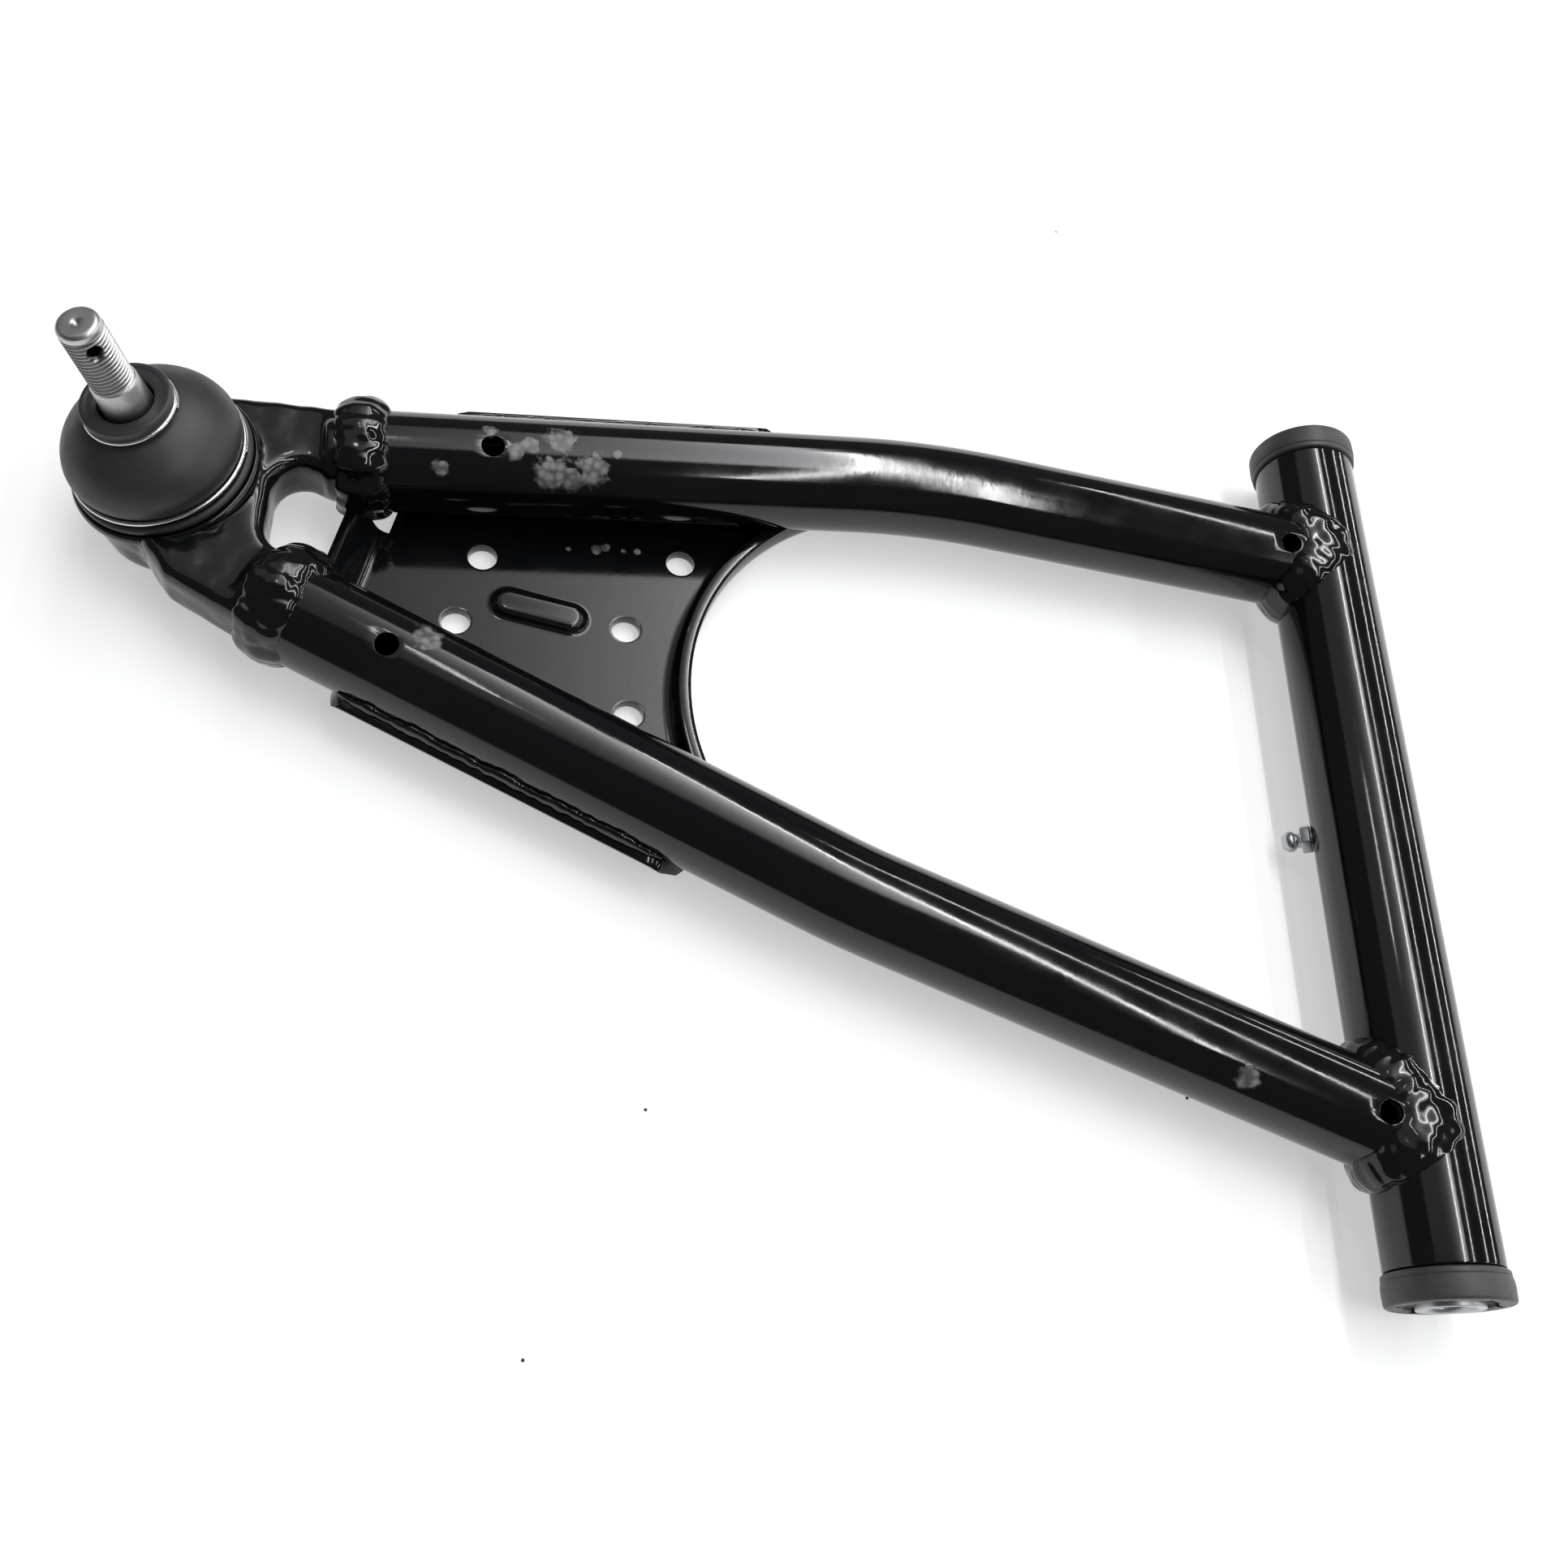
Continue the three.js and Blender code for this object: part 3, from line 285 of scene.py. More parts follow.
def slab(outline: Sequence[Vector], low: float, high: float, edge: float = 0.0) -> BMesh:
    """A flat outline given a thickness, with its edges rounded.

    Args:
        outline: Corners in the plane of the arm.
        low: Height of the underside.
        high: Height of the top.
        edge: Radius of the rounding, or none.

    Returns:
        A closed mesh.
    """
    mesh = bmesh.new()
    face = mesh.faces.new([mesh.verts.new((point.x, point.y, low)) for point in outline])
    made = bmesh.ops.extrude_face_region(mesh, geom=[face])["geom"]
    verts = [item for item in made if isinstance(item, BMVert)]
    bmesh.ops.translate(mesh, vec=(0, 0, high - low), verts=verts)
    bmesh.ops.recalc_face_normals(mesh, faces=mesh.faces)
    if edge:
        rims = [e for e in mesh.edges if abs(e.verts[0].co.z - e.verts[1].co.z) < LEVEL_GAP]
        bmesh.ops.bevel(
            mesh, geom=rims, offset=edge, affect="EDGES", segments=3, profile=0.5, material=-1,
        )
    return mesh


def joined(parts: Iterable[BMesh]) -> BMesh:
    """Puts several meshes into one, each still its own shell.

    Args:
        parts: The meshes, used up here.

    Returns:
        One mesh.
    """
    whole = bmesh.new()
    for part in parts:
        scratch = bpy.data.meshes.new("scratch")
        part.to_mesh(scratch)
        part.free()
        whole.from_mesh(scratch)
        bpy.data.meshes.remove(scratch)
    return whole


def scratch_object(mesh: BMesh) -> Object:
    """An object that holds a mesh while a modifier works on it.

    Args:
        mesh: The mesh, used up here.

    Returns:
        The object, to be given to settled().
    """
    data = bpy.data.meshes.new("scratch")
    mesh.to_mesh(data)
    mesh.free()
    made = bpy.data.objects.new("scratch", data)
    bpy.context.scene.collection.objects.link(made)
    return made


def settled(work: Object) -> BMesh:
    """Takes the mesh that an object's modifiers give, and removes the object.

    Args:
        work: The object that scratch_object() made.

    Returns:
        The changed mesh.
    """
    bpy.context.view_layer.update()
    mesh = bmesh.new()
    mesh.from_object(work, bpy.context.evaluated_depsgraph_get())
    data = work.data
    bpy.data.objects.remove(work)
    bpy.data.meshes.remove(data)
    return mesh


def carved(mesh: BMesh, tool: BMesh, cut: Cut = Cut.REMOVE) -> BMesh:
    """Cuts a solid with another one, or keeps only what both fill.

    Args:
        mesh: The solid that stays.
        tool: The solid that cuts it, used up here.
        cut: Whether the tool's room is removed or kept.

    Returns:
        The new mesh.
    """
    work, cutter = scratch_object(mesh), scratch_object(tool)
    change = work.modifiers.new("cut", "BOOLEAN")
    change.operation = cut.value
    change.solver = "EXACT"
    change.object = cutter
    made = settled(work)
    data = cutter.data
    bpy.data.objects.remove(cutter)
    bpy.data.meshes.remove(data)
    return made


def forged(parts: Iterable[BMesh], grain: float, passes: int) -> BMesh:
    """Melts solids into one body with soft fillets, as a forging has.

    Args:
        parts: Solids that overlap each other.
        grain: Size of the new mesh's faces.
        passes: Rounds of smoothing.

    Returns:
        One closed mesh.
    """
    work = scratch_object(joined(parts))
    change = work.modifiers.new("melt", "REMESH")
    change.mode = "VOXEL"
    change.voxel_size = grain
    mesh = settled(work)
    for _ in range(passes):
        bmesh.ops.smooth_vert(
            mesh, verts=mesh.verts, factor=0.5, use_axis_x=True, use_axis_y=True, use_axis_z=True,
        )
    return mesh


def blobs(places: Iterable[Matrix], grain: float = 0.55, passes: int = 3) -> BMesh:
    """Melts a row of unit balls, each in a place that also scales it, into one run of weld.

    Args:
        places: Where the balls go.
        grain: Size of the new mesh's faces.
        passes: Rounds of smoothing.

    Returns:
        One closed mesh.
    """
    mesh = bmesh.new()
    for place in places:
        bmesh.ops.create_icosphere(mesh, subdivisions=3, radius=1.0, matrix=place)
    return forged([mesh], grain, passes)


def knead(mesh: BMesh, amount: float, size: float, seed: float) -> None:
    """Moves the surface in and out by smooth noise.

    Args:
        mesh: The mesh to change.
        amount: Largest move.
        size: Width of a lump.
        seed: Where in the noise the lumps are taken from.
    """
    mesh.normal_update()
    shift = Vector((seed, seed * 1.7, seed * 0.3))
    for vert in mesh.verts:
        vert.co += vert.normal * amount * noise.noise(vert.co / size + shift)


@dataclass
class Piece:
    """One visible piece, from its finished mesh to its place in the frame."""

    name: str
    mesh: BMesh
    material: Material
    slot: Slot
    body: Body = Body.ARM
    nodes: tuple[str, ...] = ()
    sharp: float = 35.0
    blend: tuple[Body, Body, float, float] | None = None

    def finish(self) -> Object:
        """Moves the mesh to the shared frame and hands the piece to its body; a piece with a blend is baked
        in place and given no body.

        Returns:
            The finished object.
        """
        place = Matrix.Translation(DATUM) @ Matrix.Scale(MM, 4)
        bmesh.ops.transform(self.mesh, matrix=place, verts=self.mesh.verts)
        data = bpy.data.meshes.new(self.name)
        self.mesh.to_mesh(data)
        self.mesh.free()
        data.shade_smooth()
        data.set_sharp_from_angle(angle=math.radians(self.sharp))
        data.materials.append(self.material)
        made = bpy.data.objects.new(self.name, data)
        bpy.context.scene.collection.objects.link(made)
        if self.blend:
            first, second, low, high = self.blend
            start, end = (place @ joint_frame(height).translation for height in (low, high))
            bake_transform(made)
        else:
            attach(made, self.body.value)
        if self.nodes:
            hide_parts(*self.nodes)
        LOG.info("%s: %d faces", self.name, len(data.polygons))
        return made


# ------------------------------------------------------------------ shader groups

class Graph:
    """A short way to write a node tree."""

    def __init__(self, tree: NodeTree) -> None:
        """Keeps the tree that nodes are added to."""
        self.tree = tree

    def add(self, kind: str, inputs: dict[str | int, Value] | None = None, **settings: object) -> Node:
        """Adds a node.

        Args:
            kind: The node's type.
            inputs: Values or sockets for its inputs, by name or number.
            **settings: The node's own properties.

        Returns:
            The new node.
        """
        made = self.tree.nodes.new(kind)
        for key, value in settings.items():
            setattr(made, key, value)
        for key, value in (inputs or {}).items():
            if isinstance(value, NodeSocket):
                self.tree.links.new(value, made.inputs[key])
            else:
                made.inputs[key].default_value = value
        return made

    def maths(self, operation: str, first: Value, second: Value = 0.0, clamp: bool = False) -> NodeSocket:
        """The result of one sum on two values or sockets."""
        made = self.add("ShaderNodeMath", {0: first, 1: second}, operation=operation, use_clamp=clamp)
        return made.outputs[0]

    def noise(self, vector: Value, scale: Value, detail: float = 2.0) -> NodeSocket:
        """Smooth noise over a vector, from 0 to 1."""
        made = self.add("ShaderNodeTexNoise", {"Vector": vector, "Scale": scale, "Detail": detail})
        return made.outputs["Fac"]

    def ramp(self, value: Value, low: Value, high: Value, to_low: Value = 0.0,
             to_high: Value = 1.0) -> NodeSocket:
        """Spreads a value from one range over another, with soft ends.

        Args:
            value: What is spread.
            low: The value that gives to_low.
            high: The value that gives to_high.
            to_low: The first result.
            to_high: The last result.

        Returns:
            The result's socket.
        """
        made = self.add(
            "ShaderNodeMapRange",
            {"Value": value, "From Min": low, "From Max": high, "To Min": to_low, "To Max": to_high},
            interpolation_type="SMOOTHSTEP",
        )
        return made.outputs["Result"]

    def mixed(self, mask: Value, first: Value, second: Value) -> NodeSocket:
        """One colour fading to another by a mask.

        Args:
            mask: 0 for the first colour and 1 for the second.
            first: A colour.
            second: A colour.

        Returns:
            The mixed colour's socket.
        """
        made = self.add("ShaderNodeMix", data_type="RGBA")
        sockets = (made.inputs["Factor"], made.inputs[6], made.inputs[7])
        for socket, value in zip(sockets, (mask, first, second)):
            if isinstance(value, NodeSocket):
                self.tree.links.new(value, socket)
            else:
                socket.default_value = value
        return made.outputs[2]


def new_group(name: str, inputs: dict[str, tuple[str, float | None]],
              outputs: dict[str, str]) -> tuple[NodeTree, Graph, Node, Node]:
    """Starts a shader node group.

    Args:
        name: The group's name.
        inputs: Each input's socket type and default value.
        outputs: Each output's socket type.

    Returns:
        The group, its graph, and its input and output nodes.
    """
    tree = bpy.data.node_groups.new(name, "ShaderNodeTree")
    for label, (kind, value) in inputs.items():
        socket = tree.interface.new_socket(label, in_out="INPUT", socket_type=kind)
        if value is not None:
            socket.default_value = value
    for label, kind in outputs.items():
        tree.interface.new_socket(label, in_out="OUTPUT", socket_type=kind)
    graph = Graph(tree)
    return tree, graph, graph.add("NodeGroupInput"), graph.add("NodeGroupOutput")


FLOAT, VECTOR = "NodeSocketFloat", "NodeSocketVector"


def relief_group() -> NodeTree:
    """Two sizes of fine unevenness, added up as a height.

    Returns:
        The group.
    """
    tree, graph, given, out = new_group(
        "fine_relief",
        {"Vector": (VECTOR, None), "Broad Scale": (FLOAT, 300.0), "Fine Scale": (FLOAT, 1200.0),
         "Fine Share": (FLOAT, 0.4)},
        {"Height": FLOAT},
    )
    broad = graph.noise(given.outputs["Vector"], given.outputs["Broad Scale"], 1.0)
    fine = graph.noise(given.outputs["Vector"], given.outputs["Fine Scale"], 2.0)
    share = graph.maths("MULTIPLY", fine, given.outputs["Fine Share"])
    tree.links.new(graph.maths("ADD", broad, share), out.inputs["Height"])
    return tree


def grime_group() -> NodeTree:
    """Faint cloudy dirt with finer specks inside it, as a mask.

    Returns:
        The group.
    """
    tree, graph, given, out = new_group(
        "grime",
        {"Vector": (VECTOR, None), "Cloud Scale": (FLOAT, 25.0), "Speck Scale": (FLOAT, 700.0),
         "Amount": (FLOAT, 0.5)},
        {"Mask": FLOAT},
    )
    cloud = graph.ramp(graph.noise(given.outputs["Vector"], given.outputs["Cloud Scale"], 4.0), 0.42, 0.72)
    speck = graph.ramp(graph.noise(given.outputs["Vector"], given.outputs["Speck Scale"], 1.0), 0.45, 0.75)
    patchy = graph.maths("MULTIPLY", cloud, graph.maths("ADD", graph.maths("MULTIPLY", speck, 0.7), 0.3))
    tree.links.new(graph.maths("MULTIPLY", patchy, given.outputs["Amount"], clamp=True), out.inputs["Mask"])
    return tree


def scuff_group() -> NodeTree:
    """A patch of blotches round one point, where paint is rubbed or spattered.

    Returns:
        The group.
    """
    tree, graph, given, out = new_group(
        "scuff_patch",
        {"Vector": (VECTOR, None), "Centre": (VECTOR, None), "Radius": (FLOAT, 0.005),
         "Blotch Scale": (FLOAT, 420.0)},
        {"Mask": FLOAT},
    )
    ragged = graph.noise(given.outputs["Vector"], 330.0, 4.0)
    away = graph.add(
        "ShaderNodeVectorMath", {0: given.outputs["Vector"], 1: given.outputs["Centre"]},
        operation="DISTANCE",
    ).outputs["Value"]
    wander = graph.maths("MULTIPLY", graph.maths("SUBTRACT", ragged, 0.5), 1.7)
    reach = graph.maths("ADD", graph.maths("DIVIDE", away, given.outputs["Radius"]), wander)
    inside = graph.ramp(reach, 0.6, 1.05, 1.0, 0.0)
    cells = graph.add(
        "ShaderNodeTexVoronoi", {"Vector": given.outputs["Vector"], "Scale": given.outputs["Blotch Scale"]},
    ).outputs["Distance"]
    blotch = graph.ramp(cells, 0.2, 0.75, 0.95, 0.35)
    tree.links.new(graph.maths("MULTIPLY", inside, blotch), out.inputs["Mask"])
    return tree


def turning_group() -> NodeTree:
    """Fine rings left by a lathe tool, as a height along Z.

    Returns:
        The group.
    """
    tree, graph, given, out = new_group(
        "turning_marks",
        {"Vector": (VECTOR, None), "Pitch": (FLOAT, 0.0004), "Waver": (FLOAT, 0.3)},
        {"Height": FLOAT},
    )
    z = graph.add("ShaderNodeSeparateXYZ", {0: given.outputs["Vector"]}).outputs["Z"]
    drift = graph.maths("MULTIPLY", graph.noise(given.outputs["Vector"], 350.0, 3.0), given.outputs["Waver"])
    count = graph.maths("DIVIDE", z, given.outputs["Pitch"])
    phase = graph.maths("ADD", count, graph.maths("MULTIPLY", drift, 9.0))
    wave = graph.maths("SINE", graph.maths("MULTIPLY", phase, 2 * math.pi))
    tree.links.new(graph.maths("MULTIPLY", graph.maths("ADD", wave, 1.0), 0.5), out.inputs["Height"])
    return tree


class Effects:
    """The node groups that several finishes share."""

    def __init__(self) -> None:
        """Builds each group once."""
        self.relief = relief_group()
        self.grime = grime_group()
        self.scuff = scuff_group()
        self.turning = turning_group()


# ------------------------------------------------------------------ finishes

def grey(level: float, warm: float = 0.0) -> Colour:
    """A grey, a little warmer or, with a negative number, bluer."""
    return (level * (1 + warm), level, level * (1 - warm), 1.0)


@dataclass(frozen=True)
class Finish:
    """What every finish has: a colour, how that varies, and how rough and uneven it is."""

    name: str
    colour: Colour
    second: Colour
    metallic: float = 0.0
    rough: tuple[float, float] = (0.4, 0.5)
    broad: float = 300.0
    fine: float = 1200.0
    fine_share: float = 0.4
    depth: float = 1e-5
    grime: float = 0.3

    def start(self, effects: Effects) -> tuple[Material, Graph, dict[str, NodeSocket]]:
        """Lays out the nodes that every finish has, up to the values that the shader takes.

        Args:
            effects: The shared node groups.

        Returns:
            The material, its graph, and the sockets for vector, colour, roughness and height.
        """
        material = bpy.data.materials.new(self.name)
        material.use_nodes = True
        material.node_tree.nodes.clear()
        graph = Graph(material.node_tree)
        vector = graph.add("ShaderNodeTexCoord").outputs["Object"]
        relief = graph.add(
            "ShaderNodeGroup",
            {"Vector": vector, "Broad Scale": self.broad, "Fine Scale": self.fine,
             "Fine Share": self.fine_share},
            node_tree=effects.relief,
        )
        dirt = graph.add("ShaderNodeGroup", {"Vector": vector, "Amount": self.grime}, node_tree=effects.grime)
        colour = graph.mixed(dirt.outputs["Mask"], self.colour, self.second)
        cloudy = graph.ramp(graph.noise(vector, self.broad * 0.2, 3.0), 0.3, 0.7, *self.rough)
        dulled = graph.maths("MULTIPLY", dirt.outputs["Mask"], 0.15)
        roughness = graph.maths("ADD", cloudy, dulled, clamp=True)
        return material, graph, {
            "vector": vector, "colour": colour, "roughness": roughness, "height": relief.outputs["Height"],
        }

    def close(self, material: Material, graph: Graph, sockets: dict[str, NodeSocket]) -> Material:
        """Joins the sockets to a shader.

        Args:
            material: The material that start() made.
            graph: Its graph.
            sockets: The sockets to read.

        Returns:
            The finished material.
        """
        bump = graph.add(
            "ShaderNodeBump", {"Height": sockets["height"], "Strength": 1.0, "Distance": self.depth},
        )
        shader = graph.add(
            "ShaderNodeBsdfPrincipled",
            {"Base Color": sockets["colour"], "Roughness": sockets["roughness"], "Metallic": self.metallic,
             "Normal": bump.outputs["Normal"]},
        )
        graph.add("ShaderNodeOutputMaterial", {"Surface": shader.outputs["BSDF"]})
        return material

    def build(self, effects: Effects) -> Material:
        """The finished material."""
        material, graph, sockets = self.start(effects)
        return self.close(material, graph, sockets)


@dataclass(frozen=True)
class Scuff:
    """A worn spot in the paint: its place in millimetres in the arm's datum, and its size."""

    x: float
    y: float
    z: float
    radius: float

    @property
    def centre(self) -> Vector:
        """The spot's centre in metres in the shared frame."""
        return DATUM + Vector((self.x, self.y, self.z)) * MM


@dataclass(frozen=True)
class ScuffedPaint(Finish):
    """Gloss black paint with pale rubbed spots."""

    scuffs: tuple[Scuff, ...] = ()
    bare: Colour = (0.23, 0.225, 0.215, 1.0)
    raised: float = 6.0

    def build(self, effects: Effects) -> Material:
        """The finished material, with a patch for each scuff.

        Args:
            effects: The shared node groups.

        Returns:
            The material.
        """
        material, graph, sockets = self.start(effects)
        mask: NodeSocket | None = None
        for scuff in self.scuffs:
            found = graph.add(
                "ShaderNodeGroup",
                {"Vector": sockets["vector"], "Centre": scuff.centre, "Radius": scuff.radius * MM},
                node_tree=effects.scuff,
            ).outputs["Mask"]
            mask = found if mask is None else graph.maths("MAXIMUM", mask, found)
        if mask is not None:
            sockets["colour"] = graph.mixed(mask, sockets["colour"], self.bare)
            rubbed = graph.maths("MULTIPLY", mask, 0.5)
            sockets["roughness"] = graph.maths("ADD", sockets["roughness"], rubbed, clamp=True)
            spatter = graph.maths("MULTIPLY", mask, self.raised)
            sockets["height"] = graph.maths("ADD", sockets["height"], spatter)
        return self.close(material, graph, sockets)


@dataclass(frozen=True)
class TurnedSteel(Finish):
    """Steel with tool marks round the stud's axis, and painted shade in its thread's valleys."""

    pitch: float = 0.0004
    valley: tuple[float, float] = (0.0052, 0.0059)
    threaded: tuple[float, float] = (0.0424, 0.0611)
    # The dark colour painted into the thread's valleys as shade.
    valley_shade: Colour = grey(0.03, 0.1)

    def build(self, effects: Effects) -> Material:
        """The finished material, its marks square to the stud and its thread's valleys darkened by painted
        shade.

        Args:
            effects: The shared node groups.

        Returns:
            The material.
        """
        material, graph, sockets = self.start(effects)
        place = (Matrix.Translation(DATUM) @ Matrix.Scale(MM, 4) @ joint_frame()).inverted()
        mapping = graph.add("ShaderNodeMapping", {"Vector": sockets["vector"]}, vector_type="POINT")
        turn = place.to_3x3().normalized()
        mapping.inputs["Rotation"].default_value = turn.to_euler()
        mapping.inputs["Location"].default_value = -(turn @ (DATUM + BALL * MM))
        marks = graph.add(
            "ShaderNodeGroup", {"Vector": mapping.outputs["Vector"], "Pitch": self.pitch},
            node_tree=effects.turning,
        )
        rings = graph.maths("MULTIPLY", marks.outputs["Height"], 0.8)
        sockets["height"] = graph.maths("ADD", sockets["height"], rings)
        local = graph.add("ShaderNodeSeparateXYZ", {0: mapping.outputs["Vector"]})
        across = graph.maths("MULTIPLY", local.outputs["X"], local.outputs["X"])
        around = graph.maths("ADD", across, graph.maths("MULTIPLY", local.outputs["Y"], local.outputs["Y"]))
        # Painted shade: over the threaded length, points nearer the stud's axis than the crests are mixed
        # towards a dark colour.
        depth = graph.ramp(graph.maths("SQRT", around), *self.valley, 0.85, 0.0)
        low, high = self.threaded
        above = graph.maths("GREATER_THAN", local.outputs["Z"], low)
        below = graph.maths("LESS_THAN", local.outputs["Z"], high)
        mask = graph.maths("MULTIPLY", depth, graph.maths("MULTIPLY", above, below))
        sockets["colour"] = graph.mixed(mask, sockets["colour"], self.valley_shade)
        return self.close(material, graph, sockets)


TUBE_SCUFFS = (
    Scuff(-274.2, 98.3, 14.8, 2.6), Scuff(-266.3, 92.1, 14.3, 3.2), Scuff(-262.7, 94.4, 14.8, 3.0),
    Scuff(-253.8, 98.0, 15.0, 5.2), Scuff(-255.4, 87.9, 11.4, 5.6), Scuff(-249.2, 87.4, 10.5, 4.4),
    Scuff(-243.5, 90.3, 12.5, 5.4), Scuff(-287.8, 85.0, 11.3, 2.6), Scuff(-236.7, 95.2, 14.5, 1.6),
    Scuff(-285.5, 26.5, 14.0, 5.0), Scuff(-56.4, -84.9, 11.9, 3.6),
)
PLATE_SCUFFS = (
    Scuff(-248.2, 79.8, -15.3, 1.2), Scuff(-239.6, 80.4, -15.3, 1.9), Scuff(-236.8, 81.6, -15.3, 1.6),
    Scuff(-226.7, 81.5, -15.3, 1.2), Scuff(-231.0, 81.0, -15.3, 0.9), Scuff(-213.0, 50.8, -7.0, 2.6),
)


@dataclass(frozen=True)
class Palette:
    """Every finish on the arm."""

    paint: Material
    tube_paint: Material
    plate_paint: Material
    forged_paint: Material
    weld_paint: Material
    plastic: Material
    zinc: Material
    steel: Material
    rubber: Material
    collar: Material
    wire: Material
    acetal: Material
    cushion: Material


def mix_palette() -> Palette:
    """Builds every finish.

    Returns:
        The materials, by what they are used for.
    """
    effects = Effects()
    black, dust = grey(0.0035, -0.15), grey(0.02, 0.02)
    paint = dict(
        colour=black, second=dust, rough=(0.07, 0.12), broad=420.0, fine=1500.0, depth=9e-6, grime=0.12,
    )
    forged_look = {**paint, "broad": 260.0, "depth": 3e-5, "fine_share": 0.25}
    burnt_look = {**paint, "second": (0.045, 0.022, 0.012, 1.0), "grime": 0.16, "depth": 8e-6}
    return Palette(
        paint=ScuffedPaint("gloss_black", **paint).build(effects),
        tube_paint=ScuffedPaint("gloss_black_tube", scuffs=TUBE_SCUFFS, **paint).build(effects),
        plate_paint=ScuffedPaint("gloss_black_plate", scuffs=PLATE_SCUFFS, **paint).build(effects),
        forged_paint=ScuffedPaint("gloss_black_forging", **forged_look).build(effects),
        weld_paint=ScuffedPaint("gloss_black_weld", **burnt_look).build(effects),
        plastic=Finish(
            "moulded_plastic", grey(0.04, 0.0), grey(0.08, 0.03), rough=(0.42, 0.55), broad=900.0,
            fine=3200.0, depth=2.5e-5, grime=0.5,
        ).build(effects),
        zinc=Finish(
            "zinc_plate", grey(0.46, -0.03), grey(0.3, 0.03), metallic=1.0, rough=(0.28, 0.42), broad=700.0,
            fine=2600.0, depth=1.2e-5, grime=0.6,
        ).build(effects),
        steel=TurnedSteel(
            "turned_steel", grey(0.52, 0.01), grey(0.28, 0.05), metallic=1.0, rough=(0.3, 0.42), broad=800.0,
            fine=3000.0, depth=1.2e-5, grime=0.5,
        ).build(effects),
        rubber=Finish(
            "boot_rubber", grey(0.022, -0.03), grey(0.05, 0.0), rough=(0.42, 0.52), broad=600.0, fine=2800.0,
            depth=1.4e-5, grime=0.35,
        ).build(effects),
        collar=Finish(
            "collar_rubber", grey(0.03, -0.05), grey(0.055, 0.0), rough=(0.38, 0.5), broad=500.0, fine=2800.0,
            depth=1.6e-5, grime=0.35,
        ).build(effects),
        wire=Finish(
            "spring_wire", grey(0.68, -0.02), grey(0.4, 0.02), metallic=1.0, rough=(0.16, 0.26), broad=900.0,
            fine=3400.0, depth=6e-6, grime=0.4,
        ).build(effects),
        acetal=Finish(
            "acetal", grey(0.62, 0.08), grey(0.5, 0.12), rough=(0.3, 0.4), depth=1e-5, grime=0.3,
        ).build(effects),
        cushion=Finish(
            "cushion_rubber", grey(0.03, 0.05), grey(0.06, 0.05), rough=(0.6, 0.75), depth=2e-5, grime=0.4,
        ).build(effects),
    )


# ------------------------------------------------------------------ arm tubes

